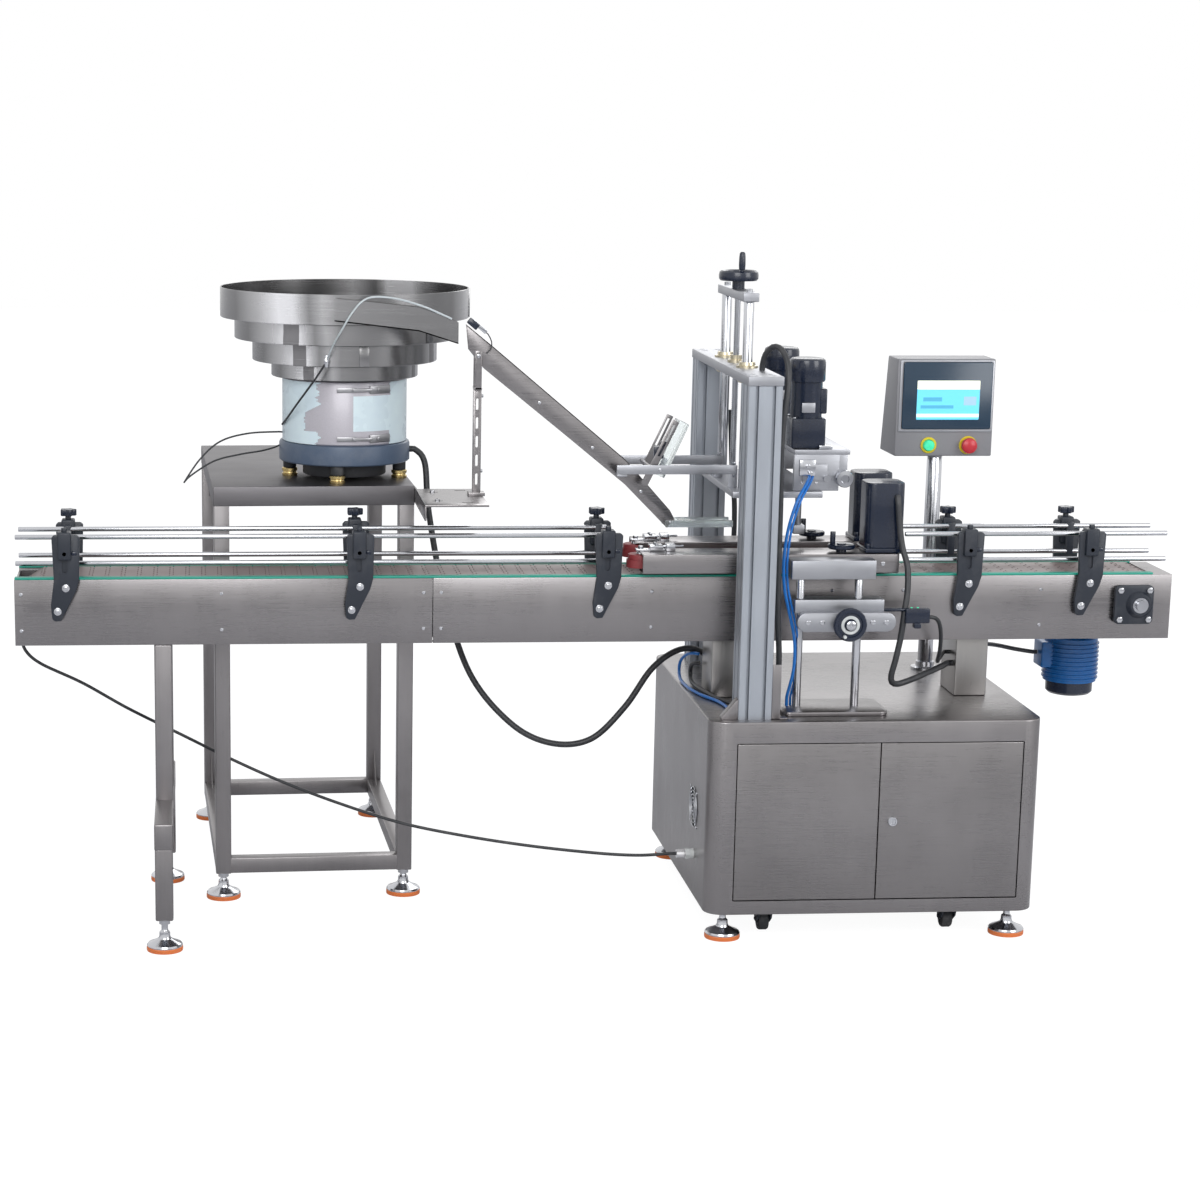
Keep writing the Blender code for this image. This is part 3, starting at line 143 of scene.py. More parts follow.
# %% A material under construction
class Recipe:
    """A material under construction."""

    def __init__(self, name):
        self.material = bpy.data.materials.new(name)
        self.material.use_nodes = True
        self.tree = self.material.node_tree
        self.shader = self.tree.nodes["Principled BSDF"]
        self.place = self.node("TexCoord", {}, {}, "Object")

    def node(self, kind, settings, inputs, output=0):
        """Adds a node by its type's short name and gives back one of its outputs."""
        made = self.tree.nodes.new("ShaderNode" + kind)
        for key, value in settings.items():
            if key == "stops":
                ramp = made.color_ramp
                for i, (stop, colour) in enumerate(value):
                    element = ramp.elements[i] if i < 2 else ramp.elements.new(stop)
                    element.position = stop
                    element.color = (*colour, 1)
            else:
                setattr(made, key, value)
        for key, value in inputs.items():
            self.feed(made.inputs[key], value)
        return Wire(self, made.outputs[output])

    def feed(self, socket, value):
        if isinstance(value, Wire):
            self.tree.links.new(value.socket, socket)
        else:
            socket.default_value = value

    def set(self, **values):
        """Feeds the shader's sockets; an underscore stands for a space."""
        for key, value in values.items():
            if isinstance(value, tuple) and len(value) == 3:
                value = (*value, 1)
            self.feed(self.shader.inputs[key.replace("_", " ")], value)
        return self.material

    def noise(self, scale, stretch=(1, 1, 1), detail=3.0, rough=0.55):
        spread = self.node("Mapping", {}, {"Vector": self.place, "Scale": stretch})
        return self.node(
            "TexNoise", {}, {"Vector": spread, "Scale": scale, "Detail": detail, "Roughness": rough},
        )

    def blend(self, factor, low, high):
        """A colour between two, by a number from 0 to 1."""
        low, high = ((*c, 1) if isinstance(c, tuple) else c for c in (low, high))
        return self.node("Mix", {"data_type": "RGBA"}, {0: factor, 6: low, 7: high}, 2)

    def bump(self, height, strength, distance):
        return self.node("Bump", {}, {"Height": height, "Strength": strength, "Distance": distance}, 0)


def shade(colour, factor):
    return tuple(min(1.0, c * factor) for c in colour)


# %% [markdown]
# ## Finishes
#
# Nearly everything here is brushed stainless steel. Brushing is noise drawn out a hundred times
# along one direction, which breaks up the gloss. Broad soft clouds under it are painted
# reflections in the colour, and a finer noise adds wiping marks. Each finish is made once for
# each grain direction.

# %% Metal finishes
GRAIN = {"X": (0.02, 1, 1), "Y": (1, 0.02, 1), "Z": (1, 1, 0.02)}


def metal(name, colour, roughness, grain, depth=0.5):
    """Sheet metal with a brushed grain along one axis, painted reflection clouds, and faint wiping marks.
    """
    recipe = Recipe(name)
    brushed = recipe.noise(420, GRAIN[grain], 2.0)
    # Broad soft light and dark clouds in the base colour are painted reflections; the wiped noise is
    # wiping marks.
    reflection_clouds = recipe.noise(2.2, (1, 1, 1), 3.0)
    wiped = recipe.noise(9.0, (1, 1, 0.5), 4.0)
    tone = reflection_clouds * 0.6 + wiped * 0.28 + brushed * 0.12
    level = recipe.node("MapRange", {}, {0: tone, 1: 0.34, 2: 0.66, 3: 0.0, 4: 1.0})
    shades = recipe.blend(level, shade(colour, 1 - 0.34 * depth), shade(colour, 1 + 0.26 * depth))
    gloss = (brushed - 0.5) * 0.22 + (wiped - 0.5) * 0.2 + roughness
    return recipe.set(
        Base_Color=shades, Metallic=1.0, Roughness=gloss,
        Normal=recipe.bump(brushed, 0.10, 0.0004),
    )


STEEL_COLOUR = (0.275, 0.263, 0.267)
steel_x = metal("brushed_steel_along_x", STEEL_COLOUR, 0.30, "X", 0.45)
steel_z = metal("brushed_steel_upright", STEEL_COLOUR, 0.34, "Z")
# The doors get a slightly darker copy of the cabinet's steel: painted shade.
steel_doors_shaded = metal("door_steel", (0.262, 0.251, 0.253), 0.30, "X", 0.5)
# The feeder table gets a much darker copy of the steel: painted shade that takes down the lamps' highlight
# on its top.
steel_table_shaded = metal("table_steel", (0.172, 0.166, 0.174), 0.46, "X", 0.4)
# The pedestals get a paler copy of the steel: painted light where they stand in the conveyor's shade.
steel_pedestal_lit = metal("pedestal_steel_lit", (0.36, 0.35, 0.342), 0.34, "Z")
aluminium = metal("anodised_aluminium", (0.42, 0.45, 0.495), 0.42, "Z", 0.2)
aluminium_x = metal("anodised_aluminium_bars", (0.375, 0.383, 0.41), 0.42, "X", 0.25)
bright = metal("ground_steel", (0.56, 0.57, 0.60), 0.16, "Z", 0.3)
brass = metal("brass", (0.62, 0.48, 0.22), 0.28, "Z", 0.4)
pale_brass = metal("pale_brass", (0.60, 0.54, 0.40), 0.30, "Z", 0.4)
nickel = metal("dull_nickel", (0.36, 0.36, 0.375), 0.36, "Z", 0.3)
print(len(bpy.data.materials), "materials so far")


# %% [markdown]
# The bowl was polished on a lathe, so its grain runs round it. Broad upright bands, light and
# dark by turns, are painted reflections, set by a ramp over the angle round the bowl's axis, and
# each lower step has a painted shadow beside its seam.

# %% Polished bowl
BOWL_X, BOWL_Y = -0.600, 0.310
BOWL_REFLECTION_BANDS = (
    (0.00, 0.55), (0.078, 0.42), (0.125, 0.72), (0.156, 1.0), (0.178, 0.95), (0.199, 0.50), (0.215, 0.66),
    (0.234, 0.46), (0.305, 0.40), (0.40, 0.38), (0.45, 0.72), (0.49, 0.45), (0.60, 0.36), (0.645, 0.85),
    (0.685, 0.85), (0.70, 0.30), (0.73, 0.50), (0.78, 0.30), (0.90, 0.34), (1.0, 0.55),
)
recipe = Recipe("bowl_steel")
across, along, height = (recipe.node("SeparateXYZ", {}, {0: recipe.place}, i) for i in range(3))
angle = recipe.node("Math", {"operation": "ARCTAN2"}, {0: along - (BOWL_Y + LINE_Y), 1: across - BOWL_X})
rings = recipe.noise(380, (0.02, 0.02, 1), 2.0)
smudges = recipe.noise(7.0, (1, 1, 1), 3.0)
turn = angle * (0.5 / math.pi) + 0.5 + (smudges - 0.5) * 0.012
# The ramp paints reflections: upright light and dark bands round the bowl.
tone = recipe.node(
    "ValToRGB", {"stops": [(u, shade((0.97, 0.965, 0.98), v ** 1.5)) for u, v in BOWL_REFLECTION_BANDS]}, {0: turn},
)


def seam_shadow_strip(start, end, under):
    """1 in an upright strip of painted shadow beside a seam, between two turns and under a height, and 0
    elsewhere.
    """
    return (turn > start) * (turn < end) * (height < under)


# Painted shadow: a dark upright strip beside each lower step's seam.
seam_shadow = seam_shadow_strip(0.150, 0.176, 1.4395) + seam_shadow_strip(0.422, 0.446, 1.3875)
# Bright bands are made less metallic, which paints them as highlights.
bowl_steel = recipe.set(
    Base_Color=recipe.blend(seam_shadow * 0.85, tone, (0.14, 0.135, 0.14)),
    Metallic=recipe.node("MapRange", {}, {0: tone, 1: 0.50, 2: 0.97, 3: 1.0, 4: 0.30}),
    Roughness=(rings - 0.5) * 0.14 + (smudges - 0.5) * 0.1 + 0.25,
    Normal=recipe.bump(rings, 0.03, 0.0003),
)
print("bowl finish with", len(BOWL_REFLECTION_BANDS), "bands")


# %% [markdown]
# Paint, plastic and rubber share another recipe. Sprayed paint has a fine orange peel, moulded
# plastic a finer grain, and rubber is dull with pale dust on it.


# %% Paint, plastic and rubber
def coated(name, colour, roughness, peel, dust=0.12, metallic=0.0, coat=0.0):
    """A skin with a fine peel, and a little dust and wear in patches."""
    recipe = Recipe(name)
    grain = recipe.noise(peel, (1, 1, 1), 2.0)
    patches = recipe.noise(14, (1, 1, 1), 5.0, 0.65)
    mottled = recipe.blend(grain, shade(colour, 0.9), shade(colour, 1.12))
    dusty = recipe.node("MapRange", {}, {0: patches, 1: 0.52, 2: 0.72, 3: 0.0, 4: dust})
    worn = recipe.blend(dusty, mottled, (0.42, 0.40, 0.38))
    gloss = (grain - 0.5) * 0.15 + dusty * 0.6 + roughness
    recipe.set(Coat_Weight=coat)
    return recipe.set(
        Base_Color=worn, Metallic=metallic, Roughness=gloss,
        Normal=recipe.bump(grain, 0.16, 0.0004),
    )


black = coated("black_housing", (0.004, 0.010, 0.028), 0.26, 700, 0.03, coat=0.25)
satin_black = coated("black_nylon", (0.016, 0.021, 0.032), 0.42, 900, 0.06)
rubber = coated("rubber", (0.030, 0.032, 0.036), 0.62, 500, 0.2)
lead_black = coated("cable_jacket", (0.028, 0.030, 0.034), 0.42, 900, 0.08)
blue_paint = coated("blue_enamel", (0.001, 0.105, 0.34), 0.32, 260, 0.04, coat=0.15)
ring_paint = coated("slate_enamel", (0.070, 0.105, 0.165), 0.38, 300, 0.10)
film = coated("pale_blue_film", (0.76, 0.90, 1.0), 0.28, 16, 0.02, coat=0.3)
panel_grey = coated("grey_powder_coat", (0.26, 0.26, 0.275), 0.42, 1100, 0.05)
teal = coated("green_wear_strip", (0.012, 0.33, 0.235), 0.38, 600, 0.05)
orange = coated("orange_pad", (0.78, 0.20, 0.05), 0.50, 500, 0.12)
slat_plastic = coated("slat_plastic", (0.29, 0.23, 0.22), 0.46, 420, 0.26)
dark_red = coated("belt_rubber", (0.26, 0.030, 0.035), 0.52, 400, 0.10)
pale_plastic = coated("pale_plastic", (0.62, 0.64, 0.63), 0.40, 700, 0.08)
blue_hose = coated("blue_hose", (0.006, 0.16, 0.55), 0.30, 600, 0.03)
clear_hose = coated("clear_hose", (0.55, 0.60, 0.62), 0.22, 600, 0.03)
screen_black = coated("screen_bezel", (0.018, 0.045, 0.080), 0.18, 1200, 0.02)
yellow = coated("yellow_ring", (0.80, 0.62, 0.03), 0.35, 700, 0.03)
red_cap = coated("red_button_cap", (0.62, 0.035, 0.05), 0.30, 700, 0.03)
print(len(bpy.data.materials), "materials so far")

# %% [markdown]
# ## Modelling helpers
#
# These few helpers stand for moves made by hand: a block with its edges bevelled, an outline
# pulled out into a bar, a profile spun on a lathe, and a wire along a smooth line. Each leaves
# one new object in the scene, selected alone.


# %% Selection, edit mode and a new mesh
def clear_selection():
    bpy.ops.object.select_all(action="DESELECT")


def edit_all():
    """Opens the active object for editing, with all of it selected."""
    bpy.ops.object.mode_set(mode="EDIT")
    bpy.ops.mesh.select_all(action="SELECT")


def close_edit():
    bpy.ops.object.mode_set(mode="OBJECT")
    return bpy.context.object


def new_mesh(points, edges, faces):
    """An object from a few points that a modelling step starts from."""
    clear_selection()
    mesh = bpy.data.meshes.new("piece")
    mesh.from_pydata(points, edges, faces)
    made = bpy.data.objects.new("piece", mesh)
    bpy.context.scene.collection.objects.link(made)
    made.select_set(True)
    bpy.context.view_layer.objects.active = made
    return made


# %% [markdown]
# A finished piece is joined from its shapes, moved to the conveyor's line, and given one finish.
# It also says which body it rides on, and hides the plain solids that it stands for.


# %% Join, copy and finish
def join(pieces):
    """Several objects as one, through Blender's own join."""
    if len(pieces) == 1:
        return pieces[0]
    clear_selection()
    for piece in pieces:
        piece.select_set(True)
    bpy.context.view_layer.objects.active = pieces[0]
    bpy.ops.object.join()
    return bpy.context.object


def copies(piece, moves):
    """The piece and its copies, each with its own mesh, at the given offsets."""
    made = []
    for move in moves:
        matrix = move if isinstance(move, Matrix) else Matrix.Translation(move)
        copy = piece.copy()
        copy.data = piece.data.copy()
        copy.data.transform(matrix)
        bpy.context.scene.collection.objects.link(copy)
        made.append(copy)
    bpy.data.objects.remove(piece, do_unlink=True)
    return join(made)


def done(name, pieces, material, body, slot, *nodes):
    """Names a finished piece, puts it on the conveyor's line, and says what it rides on."""
    piece = join(pieces if isinstance(pieces, list) else [pieces])
    piece.name = name
    piece.data.name = name
    piece.data.transform(Matrix.Translation((0, LINE_Y, 0)))
    piece.data.materials.clear()
    piece.data.materials.append(material)
    clear_selection()
    piece.select_set(True)
    bpy.context.view_layer.objects.active = piece
    bpy.ops.object.shade_smooth_by_angle(angle=math.radians(32))
    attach(piece, body)
    if nodes:
        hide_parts(*nodes)
    print(name, "has", len(piece.data.polygons), "faces")
    return piece


def mirrored(side, near, far):
    """Two distances from the conveyor's middle, on the front (-1) or rear (1), low one first."""
    return sorted((side * near, side * far))


# %% [markdown]
# A block is a cube pulled to its size in edit mode, with bevelled edges that catch the light, as
# sawn and milled parts have. A bar is an outline extruded along an axis, for sheet and profile.

# %% Block and bar
def block(x, y, z, bevel=0.0015, segments=2):
    """A cube pulled to three (low, high) pairs, with its edges bevelled."""
    clear_selection()
    middle = [(a + b) / 2 for a, b in (x, y, z)]
    bpy.ops.mesh.primitive_cube_add(size=1, location=middle)
    cube = bpy.context.object
    cube.scale = [b - a for a, b in (x, y, z)]
    bpy.ops.object.transform_apply(location=True, rotation=True, scale=True)
    edit_all()
    bpy.ops.mesh.bevel(offset=bevel, segments=segments, affect="EDGES")
    return close_edit()


def bar(axis, outline, start, end, bevel=0.0, segments=2):
    """An outline pulled out along an axis: (y, z) on X, (x, z) on Y or (x, y) on Z."""
    place = {
        "X": lambda a, b: (start, a, b),
        "Y": lambda a, b: (a, start, b),
        "Z": lambda a, b: (a, b, start),
    }[axis]
    new_mesh([place(a, b) for a, b in outline], [], [range(len(outline))])
    edit_all()
    pull = Vector([float(axis == name) for name in "XYZ"]) * (end - start)
    bpy.ops.mesh.extrude_region_move(TRANSFORM_OT_translate={"value": pull})
    bpy.ops.mesh.select_all(action="SELECT")
    bpy.ops.mesh.normals_make_consistent(inside=False)
    if bevel:
        bpy.ops.mesh.bevel(offset=bevel, segments=segments, affect="EDGES")
    return close_edit()


# %% [markdown]
# Turned parts are spun, as on a lathe: half of the section is drawn and the spin operator takes
# it round the axis. The last copy lands on the first, so doubles are merged.

# %% Lathe and disc
def lathe(axis, centre, profile, sides=32):
    """A profile of (radius, distance along the axis) pairs, spun into a turned piece."""
    turn = {
        "X": lambda r, h: (h, centre[0] + r, centre[1]),
        "Y": lambda r, h: (centre[0] + r, h, centre[1]),
        "Z": lambda r, h: (centre[0] + r, centre[1], h),
    }[axis]
    hub = turn(0, 0)
    points = [turn(r, h) for r, h in profile]
    new_mesh(points, [(i, i + 1) for i in range(len(points) - 1)], [])
    edit_all()
    line = tuple(float(axis == name) for name in "XYZ")
    bpy.ops.mesh.spin(steps=sides, angle=2 * math.pi, center=hub, axis=line)
    bpy.ops.mesh.select_all(action="SELECT")
    bpy.ops.mesh.remove_doubles(threshold=1e-6)
    bpy.ops.mesh.normals_make_consistent(inside=False)
    return close_edit()


def disc(axis, centre, radius, start, end, round_off=0.001, sides=32):
    """A turned disc or rod with its two rims rounded."""
    low, high = min(start, end), max(start, end)
    profile = [
        (0, low), (radius - round_off, low), (radius - round_off * 0.3, low + round_off * 0.3),
        (radius, low + round_off), (radius, high - round_off),
        (radius - round_off * 0.3, high - round_off * 0.3), (radius - round_off, high), (0, high),
    ]
    return lathe(axis, centre, profile, sides)


# %% [markdown]
# A cable follows a smooth curve through a few places. Its steps are even, so that the round
# section doesn't bunch up, and it leaves and enters the machine in a straight line.

# %% Wire along a smooth route
def length_of(route):
    return sum((b - a).length for a, b in zip(route, route[1:]))


def smooth_route(points, spacing):
    """Straight first and last legs, and between them a smooth curve cut into even steps."""
    knots = [Vector(p) for p in points]
    fine = []
    for a, b, c, d in zip(knots, knots[1:], knots[2:], knots[3:]):
        for i in range(20):
            t = i / 20
            fine.append(0.5 * (2 * b + (c - a) * t + (2 * a - 5 * b + 4 * c - d) * t ** 2
                               + (3 * b - a - 3 * c + d) * t ** 3))
    fine.append(knots[-2])
    total = length_of(fine)
    count = max(2, round(total / spacing))
    step = total / count
    route = [fine[0]]
    travelled = 0.0
    for a, b in zip(fine, fine[1:]):
        length = (b - a).length
        while len(route) < count and travelled + length >= step * len(route):
            route.append(a.lerp(b, (step * len(route) - travelled) / length))
        travelled += length
    return [knots[0]] + route + [fine[-1], knots[-1]]


def wire(points, radius, spacing=0.012):
    """A round wire along a smooth route, as a curve."""
    clear_selection()
    curve = bpy.data.curves.new("wire", "CURVE")
    curve.dimensions = "3D"
    curve.bevel_depth = radius
    curve.bevel_resolution = 3
    curve.use_fill_caps = True
    route = smooth_route(points, spacing)
    spline = curve.splines.new("POLY")
    spline.points.add(len(route) - 1)
    for knot, place in zip(spline.points, route):
        knot.co = (*place, 1)
    made = bpy.data.objects.new("wire", curve)
    bpy.context.scene.collection.objects.link(made)
    return made


def wire_mesh(points, radius, spacing=0.012):
    """The same wire, turned into a mesh so that it joins with other pieces."""
    made = wire(points, radius, spacing)
    made.select_set(True)
    bpy.context.view_layer.objects.active = made
    bpy.ops.object.convert(target="MESH")
    return bpy.context.object


# %% [markdown]
# Sheet covers, columns' feet and slots have rounded corners, so their outline is drawn once with
# quarter circles. Holes and pockets are cut with Booleans, like a mill would.

# %% Rounded outline and Boolean cut
def rounded(x, y, radius, steps=8):
    """A rectangle's outline with quarter circles at its corners."""
    corners = ((x[1], y[1], 0), (x[0], y[1], 1), (x[0], y[0], 2), (x[1], y[0], 3))
    outline = []
    for px, py, quarter in corners:
        cx = px - radius if px == x[1] else px + radius
        cy = py - radius if py == y[1] else py + radius
        for i in range(steps + 1):
            turn = math.pi / 2 * (quarter + i / steps)
            outline.append((cx + radius * math.cos(turn), cy + radius * math.sin(turn)))
    return outline


def carve(piece, *tools):
    """Cuts tools out of a piece with Boolean modifiers, and removes the tools."""
    for tool in tools:
        clear_selection()
        piece.select_set(True)
        bpy.context.view_layer.objects.active = piece
        step = piece.modifiers.new("carve", "BOOLEAN")
        step.operation = "DIFFERENCE"
        step.object = tool
        bpy.ops.object.modifier_apply(modifier=step.name)
        bpy.data.objects.remove(tool, do_unlink=True)
    return piece


# %% [markdown]
# ## Cords
#
# Two cords cross open space. The thin mains lead leaves a gland on the cabinet and sags to the
# conveyor's infeed end. The thick conduit drops from the feeder and comes up onto the cabinet.
# Both follow a smooth curve through a few chosen points.

# %% Power lead and feeder conduit
GAP = 0.0003
DECK = 0.5403  # what stands on the cabinet starts at this height
GLAND_TIP = 0.232 - 0.042 - GAP
LEAD_ROUTE = (
    (-1.390, 0.030, 0.700 - GAP), (-1.390, 0.030, 0.686),
    (-1.386, 0.031, 0.658), (-1.350, 0.040, 0.622), (-1.250, 0.070, 0.566), (-1.140, 0.110, 0.492),
    (-1.010, 0.160, 0.413), (-0.890, 0.185, 0.345), (-0.760, 0.150, 0.292), (-0.620, 0.090, 0.250),
    (-0.470, 0.030, 0.214), (-0.310, -0.020, 0.191), (-0.150, -0.070, 0.177), (0.000, -0.110, 0.169),
    (0.090, -0.130, 0.168), (0.145, -0.136, 0.171), (GLAND_TIP - 0.014, -0.136, 0.173),
    (GLAND_TIP, -0.136, 0.173),
)
CONDUIT_START = -0.600 + 0.163 + GAP
CONDUIT_ROUTE = (
    (CONDUIT_START, 0.310, 1.110), (CONDUIT_START + 0.012, 0.310, 1.110), (-0.398, 0.306, 1.075),
    (-0.388, 0.285, 0.950), (-0.352, 0.235, 0.750), (-0.290, 0.185, 0.560), (-0.190, 0.145, 0.440),
    (-0.090, 0.125, 0.392), (0.010, 0.120, 0.402), (0.095, 0.125, 0.482), (0.165, 0.135, 0.580),
    (0.235, 0.140, 0.626), (0.295, 0.145, 0.615), (0.328, 0.150, 0.5603), (0.328, 0.150, DECK),
)
for name, node, route, radius, exit_end in (
    ("mains_lead", "power_lead", LEAD_ROUTE, 0.004, -1),
    ("thick_conduit", "feeder_conduit", CONDUIT_ROUTE, 0.008, 0),
):
    cord = wire([at(*p) for p in route], radius, 0.010)
    cord.name = name
    cord.data.materials.append(lead_black)
    length = length_of([Vector(p.co[:3]) for p in cord.data.splines[0].points])
    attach(cord, "machine")
    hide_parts(node)
    tuple(at(*route[exit_end]))
    2 * radius
    print(name, round(length, 3), "m")

# %% [markdown]
# ## Light and floor
#
# One wide soft lamp above the operator's side does most of the work, a weaker one fills the
# right, and a third lights the back.


# %% Lamps
def lamp(name, place, target, size, power):
    light = bpy.data.lights.new(name, "AREA")
    light.shape = "SQUARE"
    light.size = size
    light.energy = power
    made = bpy.data.objects.new(name, light)
    made.location = place
    made.rotation_euler = (Vector(target) - Vector(place)).to_track_quat("-Z", "Y").to_euler()
    bpy.context.scene.collection.objects.link(made)
    print(name, "lamp of", power, "watts")


lamp("key", (-1.2, -4.9, 3.3), (0, 0, 0.8), 2.8, 110)
lamp("fill", (3.4, -3.2, 2.4), (0.4, 0, 0.8), 2.0, 55)
lamp("back", (1.6, 4.2, 4.0), (0.4, 0, 0.7), 2.6, 60)

# %% [markdown]
# The world is an even pale grey light. Rays that come straight from the camera, that a polished
# surface mirrors or that pass through glass see white instead, so the machine stands on white.

# %% World
world = bpy.data.worlds.new("studio")
world.use_nodes = True
bpy.context.scene.world = world
nodes, links = world.node_tree.nodes, world.node_tree.links
sky = nodes["Background"]
path = nodes.new("ShaderNodeLightPath")
seen = path.outputs["Is Camera Ray"]
for ray in ("Is Glossy Ray", "Is Transmission Ray"):
    either = nodes.new("ShaderNodeMath")
    either.operation = "MAXIMUM"
    links.new(seen, either.inputs[0])
    links.new(path.outputs[ray], either.inputs[1])
    seen = either.outputs[0]
mix = nodes.new("ShaderNodeMix")
mix.data_type = "RGBA"
links.new(seen, mix.inputs[0])
PALE_GREY, WHITE = (0.47, 0.48, 0.51, 1), (1, 1, 1, 1)
mix.inputs[6].default_value = PALE_GREY
mix.inputs[7].default_value = WHITE
links.new(mix.outputs[2], sky.inputs["Color"])
sky.inputs["Strength"].default_value = 1.0
print("world of", len(nodes), "nodes")

# %% [markdown]
# The floor is matt paper with a share of plain white glow for the camera, which hides its far
# edge but leaves the machine's shadow.

# %% Floor
clear_selection()
bpy.ops.mesh.primitive_plane_add(size=1, location=(0, 0, 0))
floor = bpy.context.object
floor.name = "floor"
floor.scale = (40, 40, 1)
floor.location.z = -0.0005
bpy.ops.object.transform_apply(location=True, rotation=True, scale=True)
paper = Recipe("pale_floor")
paper.set(Base_Color=(0.78, 0.78, 0.79), Roughness=0.9)
GLOW_STRENGTH, GLOW_SHARE = 1.25, 0.76
glow = paper.node("Emission", {}, {"Color": WHITE, "Strength": GLOW_STRENGTH})
ray = paper.node("LightPath", {}, {}, "Is Camera Ray")
through = paper.node("LightPath", {}, {}, "Is Transmission Ray")
ray = paper.node("Math", {"operation": "MAXIMUM"}, {0: ray, 1: through})
both = paper.node(
    "MixShader", {}, {0: ray * GLOW_SHARE, 1: Wire(paper, paper.shader.outputs[0]), 2: glow},
)
paper.tree.links.new(both.socket, paper.tree.nodes["Material Output"].inputs["Surface"])
floor.data.materials.append(paper.material)
bpy.context.scene.view_settings.view_transform = "Standard"
print("floor is", floor.dimensions.x, "metres wide")

# %% [markdown]
# ## Side panels
#
# Each side of the conveyor is a long sheet of stainless steel, folded in along its lower edge.
# It comes in two lengths that meet at a joint. Button-head screws hold the cross bars inside,
# and a green plastic wear strip caps the upper edge, beside the chain.

# %% Conveyor side panels
END, HALF_WIDTH, WALL = 1.4, 0.096, 0.004
PANEL_TOP, PANEL_BOTTOM = 0.850, 0.692
JOINT_X = -0.408
SCREWS_X = (-1.385, -0.912, -0.430, -0.388, 0.120, 0.560, 0.735, 1.075)
for side, word in ((-1, "front"), (1, "rear")):
    outer, inner, lip = side * HALF_WIDTH, side * (HALF_WIDTH - WALL), side * (HALF_WIDTH - 0.018)
    section = [
        (outer, PANEL_TOP), (inner, PANEL_TOP), (inner, PANEL_BOTTOM + WALL),
        (lip, PANEL_BOTTOM + WALL), (lip, PANEL_BOTTOM), (outer, PANEL_BOTTOM),
    ]
    sheets = [
        bar("X", section, -END, JOINT_X - 0.0006, 0.0012),
        bar("X", section, JOINT_X + 0.0006, END, 0.0012),
    ]
    if side > 0:  # the ledge that carries the rear gripping unit
        sheets.append(block((0.300, 0.500), (HALF_WIDTH, 0.140), (0.800, 0.820)))
        sheets.append(block((0.300, 0.500), (0.110, 0.140), (0.815, 0.8657)))
    done(f"{word}_panel_sheet", sheets, steel_x, "machine", "stainless", f"{word}_side_panel")
    screw = lathe("Y", (0, 0), [(0, 0), (0.0045, 0), (0.0043, 0.0012), (0.003, 0.0022), (0.0015, 0.0022),
                                (0.0015, 0.0012), (0, 0.0012)], 12)
    flip = Matrix.Rotation(math.pi, 4, "Z") if side < 0 else Matrix.Identity(4)
    places = [Matrix.Translation((x, outer, z)) @ flip for x in SCREWS_X for z in (0.728, 0.815)]
    done(f"{word}_panel_screws", copies(screw, places), bright, "machine", "chrome")
    strip = block((-END + 0.001, END - 0.048), mirrored(side, 0.0765, 0.0975), (0.8503, 0.8555), 0.0015)
    done(f"{word}_wear_strip", strip, teal, "machine", "slats")

# %% [markdown]
# ## Slat chain
#
# The bottles ride on hinged plastic plates. One plate is an outline with interlocking fingers at
# both ends, pulled up to its thickness. A hundred and fifty copies follow the loop round the two
# sprockets, each turned to lie along it.

# %% Slat chain
SHAFT_X, SHAFT_Z = 1.317, 0.778
LOOP_RADIUS = 0.0735
STRAIGHT = 2 * SHAFT_X
LOOP = 2 * STRAIGHT + 2 * math.pi * LOOP_RADIUS
SLATS = 150
PITCH_X = LOOP / SLATS


def slat_outline():
    """A plate seen from above, whose fingers fit between the next plate's."""
    half, finger, rungs = 0.075, 0.0042, 10
    gap, play = 0.0013, 0.0004
    front, back = [], []
    for i in range(rungs):
        low = -half + 2 * half * i / rungs
        high = -half + 2 * half * (i + 1) / rungs
        reach = finger if i % 2 else -finger
        ahead, behind = PITCH_X / 2 + reach - gap, -PITCH_X / 2 + reach + gap
        front += [(ahead, low + play), (ahead, high - play)]
        back += [(behind, low + play), (behind, high - play)]
    return front + back[::-1]


def loop_place(s):
    """A place and turn on the stadium loop, at a distance along it."""
    s %= LOOP
    arc = math.pi * LOOP_RADIUS
    if s < STRAIGHT:
        return -SHAFT_X + s, SHAFT_Z + LOOP_RADIUS, 0.0
    if s < STRAIGHT + arc:
        turn = (s - STRAIGHT) / LOOP_RADIUS
        return SHAFT_X + LOOP_RADIUS * math.sin(turn), SHAFT_Z + LOOP_RADIUS * math.cos(turn), turn
    if s < 2 * STRAIGHT + arc:
        return SHAFT_X - (s - STRAIGHT - arc), SHAFT_Z - LOOP_RADIUS, math.pi
    turn = math.pi + (s - 2 * STRAIGHT - arc) / LOOP_RADIUS
    return -SHAFT_X + LOOP_RADIUS * math.sin(turn), SHAFT_Z + LOOP_RADIUS * math.cos(turn), turn


slat = bar("Z", slat_outline(), -0.0020, 0.0024)
places = []
for i in range(SLATS):
    x, z, turn = loop_place(i * PITCH_X)
    places.append(Matrix.Translation((x, 0, z)) @ Matrix.Rotation(turn, 4, "Y"))
done("chain_slats", copies(slat, places), slat_plastic, "machine", "slats", "slat_chain")
print(SLATS, "slats,", round(PITCH_X * 1000, 1), "mm apart")

# %% [markdown]
# ## Guide rails and their brackets
#
# Black moulded arms bolt to the panels. Each carries a short rod on which a rail slides in and
# out, and a knob that locks it. The rails themselves are pairs of polished rods.

